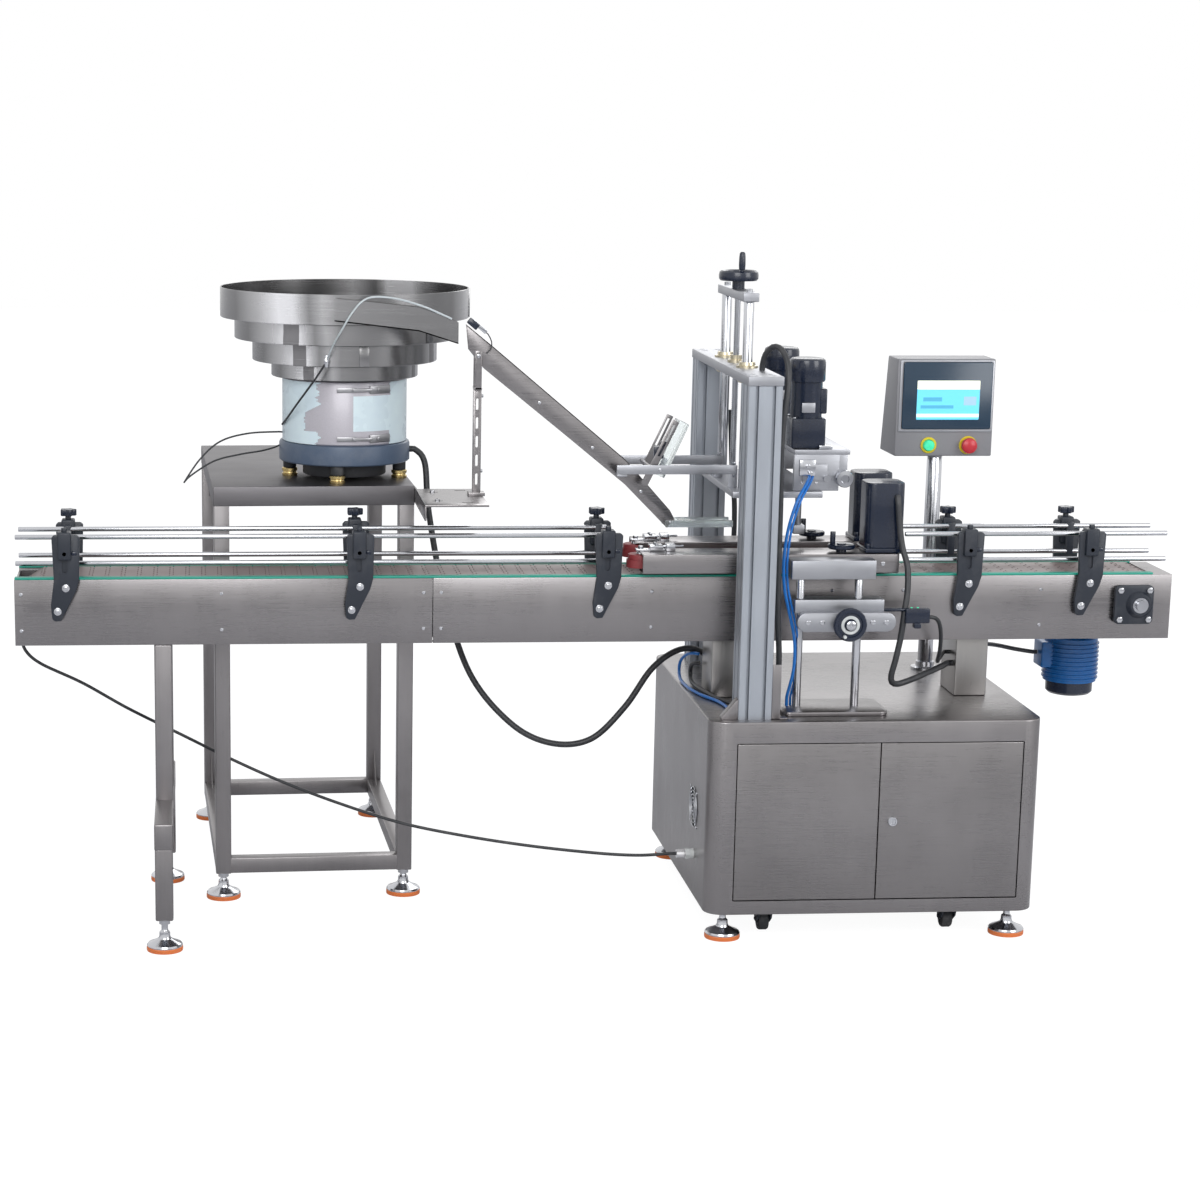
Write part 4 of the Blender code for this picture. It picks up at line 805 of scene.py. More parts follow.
# %% Bracket arms, knobs and rails
INFEED_ARMS = (-1.280, -0.585, 0.010)
OUTFEED_ARMS = (0.890, 1.190)
for side, word in ((-1, "front"), (1, "rear")):
    arms, knobs, bolts = [], [], []
    for x in INFEED_ARMS + OUTFEED_ARMS:
        outline = [
            (x - 0.034, 0.790), (x - 0.031, 0.757), (x - 0.024, 0.752), (x - 0.010, 0.753),
            (x + 0.026, 0.825), (x + 0.033, 0.850), (x + 0.036, 0.953), (x + 0.030, 0.958),
            (x - 0.024, 0.958), (x - 0.030, 0.952), (x - 0.026, 0.850),
        ]
        near, far = side * (HALF_WIDTH - 0.0005), side * (HALF_WIDTH + 0.0135)
        plate = bar("Y", outline, near, far, 0.002)
        slot_outline = rounded((x - 0.006, x + 0.006), (0.868, 0.900), 0.0055, 4)
        arms.append(carve(plate, bar("Y", slot_outline, side * 0.105, side * 0.13)))
        head_depth = mirrored(side, 0.0835, 0.122)
        arms.append(block((x - 0.016, x + 0.016), head_depth, (0.900, 0.966), 0.004, 3))
        arms.append(disc("Z", (x, side * 0.104), 0.007, 0.96, 0.975, sides=16))
        if side > 0:
            lobes = []
            for k in range(64):
                turn = 2 * math.pi * k / 64
                reach = 0.0175 + 0.0030 * math.cos(5 * turn)
                lobes.append((x + reach * math.cos(turn), side * 0.104 + reach * math.sin(turn)))
            knobs.append(bar("Z", lobes, 0.974, 0.990, 0.002, 2))
        knobs.append(disc("X", (side * 0.104, 0.915), 0.0075, x + 0.016, x + 0.029, 0.002, 16))
        for dx, z in ((-0.018, 0.776), (0.002, 0.832)):
            bolts.append(disc("Y", (x + dx, z), 0.0092, far, far + side * 0.0014, 0.0005, 20))
            bolts.append(
                disc("Y", (x + dx, z), 0.0062, far + side * 0.001, far + side * 0.0062, 0.0012, 6)
            )
    done(f"{word}_bracket_arms", arms, satin_black, "machine", "black_plastic")
    done(f"{word}_bracket_knobs", knobs, black, "machine", "black_plastic")
    done(f"{word}_bracket_bolts", bolts, bright, "machine", "chrome")
    for part, xs, start, end in (
        ("infeed", INFEED_ARMS, 0.002 - END, 0.030), ("outfeed", OUTFEED_ARMS, 0.742, END - 0.008),
    ):
        rods = [disc("X", (side * 0.062, z), 0.006, start, end, 0.0015, 20) for z in (0.884, 0.947)]
        rods += [disc("Y", (x, 0.915), 0.0058, side * 0.066, side * 0.122, 0.001, 16) for x in xs]
        node = f"{part}_{word}_rail"
        done(f"{node}_rods", rods, bright, f"{part}_{word}_guide", "stainless", node)
        across_rods = mirrored(side, 0.056, 0.070)
        clamps = [block((x - 0.009, x + 0.009), across_rods, (0.876, 0.956), 0.002) for x in xs]
        done(f"{node}_clamps", clamps, satin_black, f"{part}_{word}_guide", "black_plastic")

# %% [markdown]
# ## Levelling feet
#
# Every leg stands on a threaded stud in a round steel pad, over an orange rubber disc. The
# profile is spun once for each foot.


# %% Levelling feet and the conveyor's leg
def foot(x, y, top):
    """A stud with its lock nut on a dished pad; gives back the metal and the rubber disc."""
    metal_profile = [
        (0, 0.010), (0.0415, 0.010), (0.0425, 0.013), (0.040, 0.017), (0.030, 0.021), (0.016, 0.028),
        (0.013, 0.034), (0.0125, 0.044), (0.0085, 0.048), (0.0078, 0.050), (0.0078, top - 0.012),
        (0.013, top - 0.012), (0.013, top), (0, top),
    ]
    pad = lathe("Z", (x, y), [
        (0, 0), (0.0424, 0), (0.0429, 0.002), (0.0429, 0.0085), (0.0415, 0.0105), (0, 0.0105),
    ], 32)
    return lathe("Z", (x, y), metal_profile, 32), pad


LEG_X, TUBE = -1.052, 0.022
tubes = [block((LEG_X - TUBE, LEG_X + TUBE), (-0.325, 0.325), (0.246, 0.310), 0.004, 3)]
feet, pads = [], []
for side in (-1, 1):
    y = side * 0.070
    tubes.append(block((LEG_X - 0.021, LEG_X + 0.021), (y - TUBE, y + TUBE), (0.306, 0.6917), 0.004, 3))
    foot_depth = mirrored(side, 0.280, 0.324)
    tubes.append(block((LEG_X - 0.021, LEG_X + 0.021), foot_depth, (0.075, 0.250), 0.004, 3))
    metal_foot, pad = foot(LEG_X, side * 0.302, 0.076)
    feet.append(metal_foot)
    pads.append(pad)
done("leg_tubes", tubes, steel_z, "machine", "stainless", "conveyor_leg")

# %% [markdown]
# ## Cabinet
#
# The cabinet is a folded steel box with broad rounded corners. Two flush doors close its front,
# and a fan breathes through its left side. The shell is a rounded outline pulled up, hollowed
# and cut open with Booleans, like the real sheet.

# %% Cabinet shell
LEFT, RIGHT, FRONT, BACK = 0.232, 1.033, -0.320, 0.522
BOTTOM, TOP = 0.069, 0.540
DOOR_LEFT, DOOR_RIGHT = 0.298, 0.985
DOOR_LOW, DOOR_HIGH = 0.105, 0.487
FAN_Y, FAN_Z = -0.128, 0.289
shell = bar("Z", rounded((LEFT, RIGHT), (FRONT, BACK), 0.045, 10), BOTTOM, TOP, 0.003, 3)
hollow = bar("Z", rounded((LEFT + 0.003, RIGHT - 0.003), (FRONT + 0.003, BACK - 0.003), 0.042, 10),
             BOTTOM + 0.004, TOP - 0.004)
opening = bar(
    "Y",
    rounded((DOOR_LEFT - 0.002, DOOR_RIGHT + 0.002), (DOOR_LOW - 0.002, DOOR_HIGH + 0.002), 0.003, 3),
    FRONT - 0.02, FRONT + 0.03,
)
vent = disc("X", (FAN_Y, FAN_Z), 0.050, LEFT - 0.02, LEFT + 0.02)
carve(shell, hollow, opening, vent)
frame_depth = (FRONT + 0.0185, FRONT + 0.024)
jambs = []
for x in (DOOR_LEFT, DOOR_RIGHT):
    jambs.append(block((x - 0.012, x + 0.012), frame_depth, (DOOR_LOW, DOOR_HIGH), 0.0005))
done("cabinet_box", [shell] + jambs, steel_x, "machine", "stainless", "cabinet_shell")
for x in (LEFT + 0.052, RIGHT - 0.052):
    for y in (FRONT + 0.052, BACK - 0.052):
        metal_foot, pad = foot(x, y, 0.071)
        feet.append(metal_foot)
        pads.append(pad)

# %% [markdown]
# Each door is a shallow tray: a bevelled block with a pocket cut into its back, as thin sheet
# with a folded rim would be. The right one has a hole for the lock.

# %% Doors
SPLIT = (DOOR_LEFT + DOOR_RIGHT) / 2
LOCK_X, LOCK_Z = SPLIT + 0.034, 0.296
for name, x in (("left_door", (DOOR_LEFT, SPLIT - 0.001)), ("right_door", (SPLIT + 0.001, DOOR_RIGHT))):
    leaf = block(x, (FRONT, FRONT + 0.018), (DOOR_LOW, DOOR_HIGH), 0.0018, 3)
    inside, depth = (x[0] + 0.002, x[1] - 0.002), (FRONT + 0.002, FRONT + 0.04)
    pocket = block(inside, depth, (DOOR_LOW + 0.002, DOOR_HIGH - 0.002), 0.0005)
    carve(leaf, pocket)
    if name == "right_door":
        carve(leaf, disc("Y", (LOCK_X, LOCK_Z), 0.0096, FRONT - 0.01, FRONT + 0.01))
    done(f"{name}_leaf", leaf, steel_doors_shaded, name, "stainless", name)

# %% [markdown]
# The lock is a turned barrel with a key slot, and a flat cam behind the door that grips the left
# door's edge.

# %% Lock
barrel = lathe("Y", (LOCK_X, LOCK_Z), [
    (0, FRONT - 0.0045), (0.0065, FRONT - 0.0045), (0.0075, FRONT - 0.0062), (0.0105, FRONT - 0.0062),
    (0.012, FRONT - 0.004), (0.012, FRONT - 0.0003), (0.009, FRONT - 0.0003), (0.009, FRONT + 0.022),
    (0, FRONT + 0.022),
])
key_slot = block(
    (LOCK_X - 0.0009, LOCK_X + 0.0009), (FRONT - 0.01, FRONT - 0.002), (0.2915, 0.3005), 0.0002,
)
carve(barrel, key_slot)
cam = block((LOCK_X - 0.007, LOCK_X + 0.007), (FRONT + 0.019, FRONT + 0.022), (0.288, 0.338), 0.001)
done("lock_barrel", [barrel, cam], bright, "lock", "chrome", "door_lock")

# %% [markdown]
# The fan breathes through a guard of welded wire: five rings on four spokes, each spoke bolted
# at its end. A square plastic frame holds the fan behind it.

# %% Fan guard and housing
rings = []
for radius in (0.013, 0.022, 0.031, 0.040, 0.049):
    clear_selection()
    bpy.ops.mesh.primitive_torus_add(
        major_radius=radius, minor_radius=0.0011, major_segments=48, minor_segments=8,
        location=(LEFT - 0.002, FAN_Y, FAN_Z), rotation=(0, math.pi / 2, 0),
    )
    bpy.ops.object.transform_apply(location=True, rotation=True, scale=True)
    rings.append(bpy.context.object)
for turn in (45, 135, 225, 315):
    c, s = math.cos(math.radians(turn)), math.sin(math.radians(turn))
    ends = [(LEFT - 0.003, FAN_Y + c * r, FAN_Z + s * r) for r in (0.012, 0.02, 0.045, 0.054)]
    rings.append(wire_mesh(ends, 0.0013))
    rings.append(
        disc("X", (FAN_Y + c * 0.060, FAN_Z + s * 0.060), 0.004, LEFT - 0.0025, LEFT - 0.0002, 0.0008, 12)
    )
done("fan_guard", rings, bright, "machine", "chrome")
frame_outline = rounded((FAN_Y - 0.053, FAN_Y + 0.053), (FAN_Z - 0.053, FAN_Z + 0.053), 0.008, 5)
housing = bar("X", frame_outline, LEFT + 0.0045, LEFT + 0.030, 0.001)
carve(housing, disc("X", (FAN_Y, FAN_Z), 0.0505, LEFT - 0.02, LEFT + 0.06))
spider = [
    block(
        (LEFT + 0.005, LEFT + 0.007), (FAN_Y - 0.052, FAN_Y + 0.052), (FAN_Z - 0.004, FAN_Z + 0.004),
        0.0005,
    ),
    disc("X", (FAN_Y, FAN_Z), 0.015, LEFT + 0.004, LEFT + 0.0093),
]
done("fan_housing", [housing] + spider, satin_black, "machine", "black_plastic")

# %% [markdown]
# A cable gland is three turned steps: a dome that squeezes the lead, its six-sided nut, and the
# nut against the sheet.

# %% Gland
GLAND = (-0.136, 0.173)
gland = [
    lathe("X", GLAND, [
        (0, LEFT - 0.042), (0.0065, LEFT - 0.042), (0.0095, LEFT - 0.037), (0.0105, LEFT - 0.026),
        (0.0105, LEFT - 0.020), (0, LEFT - 0.020),
    ], 24),
    lathe("X", GLAND, [
        (0, LEFT - 0.021), (0.0135, LEFT - 0.020), (0.0135, LEFT - 0.010), (0.012, LEFT - 0.009),
        (0, LEFT - 0.009),
    ], 6),
    lathe("X", GLAND, [(0, LEFT - 0.010), (0.0125, LEFT - 0.009), (0.0125, LEFT), (0, LEFT)], 24),
]
done("lead_gland", gland, pale_plastic, "machine", "chrome")

# %% [markdown]
# ## Casters
#
# Four low swivel casters carry the cabinet when its feet are wound up. Each has a turned tyre
# with rounded shoulders, between two cheeks under a round plate.

# %% Caster wheels
for i, (x, y) in enumerate([(x, y) for y in (-0.245, 0.405) for x in (0.390, 0.842)], start=1):
    w = 0.012  # half of the tyre's width
    tyre = lathe("X", (y + 0.022, 0.032), [
        (0.0046, x - w), (0.019, x - w), (0.020, x - w + 0.002), (0.0255, x - w), (0.028, x - w + 0.004),
        (0.028, x + w - 0.004), (0.0255, x + w), (0.020, x + w - 0.002), (0.019, x + w), (0.0046, x + w),
        (0.0046, x - w),
    ])
    done(f"caster_tyre_{i}", tyre, rubber, f"caster_wheel_{i}", "rubber", f"caster_wheel_{i}")
    cheeks = []
    for side in (-1, 1):
        cheek = [
            (y - 0.022, 0.066), (y + 0.028, 0.066), (y + 0.036, 0.040), (y + 0.030, 0.025),
            (y + 0.014, 0.024), (y - 0.010, 0.040),
        ]
        cheeks.append(bar("X", cheek, x + side * 0.0135, x + side * 0.0175, 0.001))
    cheeks.append(disc("X", (y + 0.022, 0.032), 0.004, x - 0.020, x + 0.020, 0.001, 16))
    cheeks.append(disc("Z", (x, y), 0.030, 0.0627, 0.0687, 0.001))
    fork = f"caster_fork_{i}"
    done(f"caster_cheeks_{i}", cheeks, satin_black, fork, "black_plastic", fork)

# %% [markdown]
# ## Pedestals and gantry
#
# Two folded steel pedestals hold the conveyor over the cabinet. The gantry's columns are square
# aluminium profile with two T-slots in each face, drawn as one outline and pulled up.

# %% Pedestals and columns
for name, left in (("left_pedestal", 0.282), ("right_pedestal", 0.888)):
    post = block((left, left + 0.080), (-0.040, 0.092), (DECK, 0.6917), 0.003, 3)
    done(f"{name}_box", post, steel_pedestal_lit, "machine", "stainless", name)


def profile_outline(cx, cy):
    """One 80 mm profile: each face has two slots that widen behind their mouths."""
    half, mouth, lip, wide, deep = 0.040, 0.0041, 0.0045, 0.0085, 0.0125
    face = [(-half + 0.0015, -half)]
    for o in (-0.020, 0.020):
        face += [
            (o - mouth, -half), (o - mouth, lip - half), (o - wide, lip - half),
            (o - wide, lip + 0.002 - half), (o - mouth, deep - half), (o + mouth, deep - half),
            (o + wide, lip + 0.002 - half), (o + wide, lip - half), (o + mouth, lip - half),
            (o + mouth, -half),
        ]
    face.append((half - 0.0015, -half))
    outline = []
    for c, s in ((1, 0), (0, 1), (-1, 0), (0, -1)):
        outline += [(cx + c * a - s * b, cy + s * a + c * b) for a, b in face]
    return outline


COLUMN_X = 0.341
for name, y in (("front_column", -0.252), ("rear_column", 0.414)):
    column = bar("Z", profile_outline(COLUMN_X, y), DECK, 1.3267)
    done(f"{name}_profile", column, aluminium, "machine", "aluminium", name)

# %% [markdown]
# The top plate ties the columns together. Two guide bushes and the lead screw's nut sit in it,
# and sunk bolts hold it down, so each bolt gets its counterbore.

# %% Top plate with its bolts and bushes
GUIDES = (-0.059, 0.221)
MID = 0.081
plate = block((COLUMN_X - 0.042, COLUMN_X + 0.042), (-0.294, 0.456), (1.327, 1.349), 0.002, 3)
bolts = []
for y in (-0.272, -0.232, 0.394, 0.434):
    for x in (COLUMN_X - 0.020, COLUMN_X + 0.020):
        carve(plate, disc("Z", (x, y), 0.0075, 1.341, 1.36, 0.0005, 16))
        bolts.append(lathe("Z", (x, y), [
            (0, 1.3405), (0.0065, 1.3405), (0.0065, 1.3475), (0.0058, 1.3483), (0.0032, 1.3483),
            (0.0032, 1.344), (0, 1.344),
        ], 16))
done("gantry_plate", plate, aluminium_x, "machine", "aluminium", "gantry_top_plate")
done("plate_bolts", bolts, bright, "machine", "chrome")
bushes = []
for y in GUIDES:
    bushes.append(lathe("Z", (COLUMN_X, y), [
        (0.0132, 1.349), (0.0265, 1.349), (0.0265, 1.3535), (0.020, 1.3545), (0.019, 1.362),
        (0.0132, 1.362), (0.0132, 1.349),
    ]))
    bushes.append(lathe("Z", (COLUMN_X, y), [
        (0.0132, 1.313), (0.019, 1.313), (0.026, 1.321), (0.026, 1.327), (0.0132, 1.327), (0.0132, 1.313),
    ]))
bushes.append(lathe("Z", (COLUMN_X, MID), [
    (0.0087, 1.349), (0.021, 1.349), (0.021, 1.355), (0.014, 1.356), (0.014, 1.366), (0.0087, 1.366),
    (0.0087, 1.349),
]))
done("guide_bushes", bushes, pale_brass, "machine", "chrome")

# %% [markdown]
# ## Lift
#
# The yoke carries two ground shafts and the lead screw, whose handwheel raises the whole
# capping head. The yoke is a bar with a hole for the screw.

# %% Yoke and shafts
yoke_bar = block((COLUMN_X - 0.019, COLUMN_X + 0.019), (-0.085, 0.247), (1.505, 1.526), 0.002, 3)
carve(yoke_bar, disc("Z", (COLUMN_X, MID), 0.0088, 1.49, 1.54))
done("yoke_bar", yoke_bar, aluminium_x, "lift", "aluminium")
shafts = [disc("Z", (COLUMN_X, y), 0.0125, 1.0603, 1.5045, 0.001, 32) for y in GUIDES]
done("guide_shafts", shafts, bright, "lift", "chrome", "lift_yoke")
bolts = []
for y in GUIDES:
    bolts.append(lathe("Z", (COLUMN_X, y), [
        (0, 1.526), (0.008, 1.526), (0.008, 1.533), (0.007, 1.534), (0.004, 1.534), (0.004, 1.530),
        (0, 1.530),
    ], 16))
done("yoke_bolts", bolts, bright, "lift", "chrome")

# %% [markdown]
# The lead screw's thread runs in and out of the lathe profile. Rings look like a helix at this
# pitch, and they stay closed. The handwheel has a dished rim and one turned grip.

# %% Lead screw and handwheel
SCREW_LOW, SCREW_PITCH, TURNS = 1.062, 0.005, 89
thread = [(0, SCREW_LOW)]
for i in range(TURNS):
    z = SCREW_LOW + SCREW_PITCH * i
    thread += [(0.0066, z), (0.0066, z + 0.0015), (0.0079, z + 0.0023), (0.0079, z + 0.0042)]
thread += [(0.0075, 1.508), (0.0075, 1.540), (0, 1.540)]
done("lead_thread", lathe("Z", (COLUMN_X, MID), thread, 20), bright, "lift_screw", "chrome")
wheel = lathe("Z", (COLUMN_X, MID), [
    (0, 1.5263), (0.015, 1.5263), (0.015, 1.546), (0.034, 1.5475), (0.037, 1.545), (0.044, 1.5455),
    (0.0475, 1.550), (0.048, 1.558), (0.0465, 1.566), (0.042, 1.5695), (0.037, 1.567), (0.035, 1.557),
    (0.016, 1.553), (0.015, 1.560), (0.012, 1.562), (0, 1.562),
], 40)
pin_y = MID - 0.039
grip = lathe("Z", (COLUMN_X, pin_y), [
    (0, 1.566), (0.0045, 1.566), (0.0045, 1.572), (0.0075, 1.574), (0.0082, 1.585), (0.0078, 1.602),
    (0.0068, 1.612), (0.004, 1.6155), (0, 1.6158),
], 20)
done("lift_wheel", [wheel, grip], black, "lift_screw", "chrome", "lift_screw")

# %% [markdown]
# The carriage plate hangs on the shafts' lower ends. Two arms reach back from it over the
# conveyor to the chute, joined by a flat bar.

# %% Carriage plate with its arms
carriage = [block((0.303, 0.520), (-0.130, 0.292), (1.045, 1.060), 0.0015, 2)]
for y, start in ((-0.050, 0.035), (0.140, 0.073)):
    carriage.append(block((start, 0.327), (y - 0.004, y + 0.004), (1.092, 1.114), 0.001))
    carriage.append(block((0.305, 0.327), (y - 0.003, y + 0.003), (1.060, 1.112), 0.0008))
carriage.append(block((0.036, 0.060), (-0.054, 0.144), (1.086, 1.092), 0.001))
carriage.append(disc("Z", (0.490, 0), 0.008, 0.955, 1.0455))
carriage.append(block((0.476, 0.504), (-0.020, 0.020), (0.941, 0.963), 0.002))
done("carriage", carriage, aluminium_x, "lift", "aluminium", "carriage_plate")

# %% [markdown]
# ## Capping head
#
# The head's bridge is bent from plate: a top with legs at its front and rear. It stands on the
# carriage and carries the motors.

# %% Head bridge
bridge = [
    block((0.4503, 0.585), (-0.120, 0.300), (1.147, 1.159), 0.0015),
    block((0.4503, 0.560), (-0.119, -0.107), (1.0603, 1.1475), 0.0015),
    block((0.4503, 0.560), (0.287, 0.299), (1.0603, 1.1475), 0.0015),
    block((0.545, 0.580), (-0.118, -0.106), (1.075, 1.1475), 0.0015),
    block((0.470, 0.530), (-0.125, -0.119), (1.085, 1.125), 0.0015),
]
done("head_bridge", bridge, aluminium_x, "lift", "aluminium", "head_bracket")

# %% [markdown]
# Small fittings cover the bridge's front: an air valve with its nuts, a stop block and two
# turned dials.

# %% Fittings on the bridge
dial = [
    block((0.462, 0.500), (-0.1315, -0.1203), (1.098, 1.136), 0.001),
    disc("Y", (0.481, 1.122), 0.0052, -0.1380, -0.1310, 0.001, 6),
    disc("Y", (0.486, 1.106), 0.0045, -0.1420, -0.1310, 0.001, 16),
    disc("Y", (0.470, 1.080), 0.0032, -0.1228, -0.1198, 0.0006, 12),
    disc("Y", (0.505, 1.080), 0.0032, -0.1228, -0.1198, 0.0006, 12),
    block((0.512, 0.544), (-0.110, -0.070), (1.1593, 1.1680), 0.001),
    lathe("Y", (0.571, 1.091), [
        (0, -0.118), (0.020, -0.118), (0.021, -0.121), (0.021, -0.135), (0.0195, -0.138),
        (0.010, -0.1385), (0.009, -0.1365), (0, -0.1365),
    ]),
    lathe("Y", (0.530, 1.091), [(0, -0.118), (0.009, -0.119), (0.009, -0.130), (0, -0.130)], 16),
]
done("head_dial", dial, bright, "lift", "chrome")

# %% [markdown]
# Two upright motors stand on the bridge. Each has a square gearbox, a round black body, a wider
# cap and a small terminal box. The type plate stays bare.

# %% Head motors
for name, y in (("front_head_motor", -0.060), ("rear_head_motor", 0.240)):
    x = 0.487
    body = [
        (0, 1.226), (0.0375, 1.226), (0.0375, 1.315), (0.042, 1.317), (0.0435, 1.321), (0.0435, 1.362),
        (0.042, 1.368), (0.038, 1.3715), (0.030, 1.3728), (0, 1.3728),
    ]
    shapes = [
        block((x - 0.041, x + 0.041), (y - 0.041, y + 0.041), (1.1595, 1.231), 0.004, 3),
        lathe("Z", (x, y), body, 48),
        block((x + 0.028, x + 0.047), (y - 0.020, y + 0.020), (1.240, 1.300), 0.004, 3),
    ]
    done(f"{name}_body", shapes, black, "lift", "black_plastic", name)
    corners = [(x + a * 0.034, y + b * 0.034) for a in (-1, 1) for b in (-1, 1)]
    screws = [disc("Z", corner, 0.0035, 1.2305, 1.234, 0.0008, 12) for corner in corners]
    screws.append(disc("X", (y, 1.285), 0.004, x + 0.0465, x + 0.0495, 0.0008, 12))
    done(f"{name}_screws", screws, bright, "lift", "chrome")
    plate = block((x - 0.018, x + 0.014), (y - 0.0385, y - 0.0372), (1.245, 1.268), 0.0004)
    done(f"{name}_plate", plate, aluminium_x, "lift", "chrome")

# %% [markdown]
# A pair of rubber wheels on spindles spins the caps tight. Their grooved tread is part of the
# profile.

# %% Cap wheels
for name, side in (("front_cap_wheel", -1), ("rear_cap_wheel", 1)):
    y = side * 0.042
    tread = [
        (0, 0.935), (0.026, 0.935), (0.0295, 0.937), (0.030, 0.940), (0.0285, 0.943), (0.030, 0.946),
        (0.0285, 0.950), (0.030, 0.954), (0.030, 0.961), (0.0275, 0.965), (0.012, 0.965), (0, 0.965),
    ]
    done(f"{name}_tread", lathe("Z", (0.410, y), tread, 36), rubber, name, "rubber", name)
    done(f"{name}_spindle", disc("Z", (0.410, y), 0.009, 0.9652, 1.0447), bright, name, "chrome")

# %% [markdown]
# ## Gripping belts
#
# Two long steel covers flank the bottles. Each hides a red rubber belt, which comes out through
# a slit along its inner side and runs round a roller at its open end.

# %% Belt covers and belts
GRIPS = (("front", -1, (0.088, 0.708), 0.675), ("rear", 1, (0.100, 0.725), 0.690))
for word, side, x, motor_x in GRIPS:
    belt_y = side * 0.080
    cover = block(x, mirrored(side, 0.048, 0.150), (0.866, 0.912), 0.002, 3)
    inside = (x[0] + 0.003, x[1] - 0.003)
    hollow = block(inside, mirrored(side, 0.051, 0.147), (0.869, 0.909), 0.0005)
    slit = block(inside, mirrored(side, 0.020, 0.060), (0.869, 0.893), 0.0005)
    shaft_hole = disc("Z", (motor_x, belt_y), 0.0087, 0.900, 0.92)
    open_end = block((x[0] - 0.01, x[0] + 0.01), mirrored(side, 0.020, 0.147), (0.869, 0.909), 0.0003)
    carve(cover, hollow, slit, shaft_hole, open_end)
    done(f"{word}_belt_cover", cover, steel_x, f"{word}_grip", "stainless", f"{word}_grip_cover")
    outer = rounded((x[0] - 0.029, motor_x + 0.0315), mirrored(side, 0.0485, 0.1115), 0.0313, 10)
    belt = bar("Z", outer, 0.8730, 0.8915)
    bore = rounded((x[0] - 0.0265, motor_x + 0.0290), mirrored(side, 0.0510, 0.1090), 0.0288, 10)
    carve(belt, bar("Z", bore, 0.86, 0.92))
    done(f"{word}_belt", belt, dark_red, f"{word}_grip", "rubber")
    end_x = x[0] + 0.0048
    roller = disc("Z", (end_x, belt_y), 0.0300, 0.8725, 0.9045, 0.002, 40)
    done(f"{word}_belt_roller", roller, dark_red, f"{word}_grip", "rubber")
    axle = disc("Z", (end_x, belt_y), 0.010, 0.8705, 0.9105, 0.001, 20)
    done(f"{word}_roller_axle", axle, bright, f"{word}_grip", "aluminium")

# %% [markdown]
# A screw at each unit's infeed end stretches its belt, and a dished crank sets its place.

# %% Belt stretchers and cranks
for word, side, x, motor_x in GRIPS:
    belt_y, end_x = side * 0.080, x[0] + 0.0048
    stretch = [
        block((end_x - 0.012, end_x + 0.058), (belt_y - 0.011, belt_y + 0.011), (0.9123, 0.9170), 0.001),
        block((end_x + 0.060, end_x + 0.082), (belt_y - 0.015, belt_y + 0.015), (0.9123, 0.9290), 0.001),
        block((end_x + 0.020, end_x + 0.052), (belt_y - 0.018, belt_y + 0.018), (0.9165, 0.9265), 0.001),
        disc("X", (belt_y, 0.9225), 0.0028, end_x + 0.050, end_x + 0.104, 0.0006, 12),
        disc("Z", (end_x, belt_y), 0.0065, 0.9168, 0.9235, 0.001, 6),
    ]
    stretch += [
        disc("Z", (end_x + 0.036, belt_y + k * 0.011), 0.0045, 0.9262, 0.9310, 0.0008, 6) for k in (-1, 1)
    ]
    stretch += [disc("Y", (x[1] - 0.040, 0.889), 0.005, side * 0.1500, side * 0.1532, 0.0008, 16)]
    done(f"{word}_belt_stretcher", stretch, bright, f"{word}_grip", "chrome")
    cx, cy = (0.574, -0.112) if side < 0 else (0.548, 0.100)
    crank = [lathe("Z", (cx, cy), [
        (0, 0.9123), (0.012, 0.9123), (0.013, 0.919), (0.030, 0.920), (0.0325, 0.923), (0.0325, 0.929),
        (0.030, 0.931), (0.024, 0.9295), (0.012, 0.9305), (0.010, 0.933), (0, 0.933),
    ], 32), disc("Z", (cx - 0.020, cy + 0.006), 0.0065, 0.928, 0.961, 0.0015, 16)]
    done(f"{word}_crank", crank, black, f"{word}_grip", "black_plastic")

# %% [markdown]
# Each gripping unit's motor is a smooth black housing on a square base, whose shaft goes down
# through the cover to the belt's pulley.

# %% Gripping motors
for word, side, x, motor_x in GRIPS:
    y = side * 0.092
    outline = rounded((motor_x - 0.047, motor_x + 0.047), (y - 0.045, y + 0.045), 0.024, 10)
    shapes = [bar("Z", outline, 0.922, 1.0808, 0.004, 3)]
    for k in (-1, 1):
        shapes.append(disc("Z", (motor_x + k * 0.041, y - 0.041), 0.005, 0.922, 0.935, 0.001, 16))
    base = block((motor_x - 0.048, motor_x + 0.048), (y - 0.048, y + 0.048), (0.9125, 0.924), 0.003, 3)
    carve(base, disc("Z", (motor_x, side * 0.080), 0.009, 0.90, 0.9205))
    shapes.append(base)
    done(f"{word}_grip_motor_body", shapes, black, f"{word}_grip", "black_plastic", f"{word}_grip_motor")

# %% [markdown]
# The front unit slides on a small bench: three aluminium blocks on two posts, with a rounded
# link bar across them.

# %% Bench with its link bar
POST_Y = -0.1863
bench = [
    block((0.435, 0.637), (-0.2143, -0.1503), (0.862, 0.907), 0.0015),
    block((0.444, 0.659), (POST_Y - 0.032, POST_Y + 0.025), (0.781, 0.814), 0.002),
    bar("Y", rounded((0.446, 0.684), (0.740, 0.786), 0.0228, 10), POST_Y - 0.054, POST_Y - 0.031, 0.002),
    disc("Y", (0.567, 0.762), 0.014, POST_Y - 0.0677, POST_Y - 0.050, 0.001),
]
done("bench_blocks", bench, aluminium_x, "machine", "aluminium")
posts = [disc("Z", (x, POST_Y), 0.010, 0.548, 0.864, 0.001) for x in (0.462, 0.603)]
LINK_BOLTS = (0.472, 0.506, 0.628, 0.660)
posts += [disc("Y", (x, 0.763), 0.006, POST_Y - 0.057, POST_Y - 0.053, 0.001, 16) for x in LINK_BOLTS]
done("bench_posts", posts, bright, "machine", "chrome")
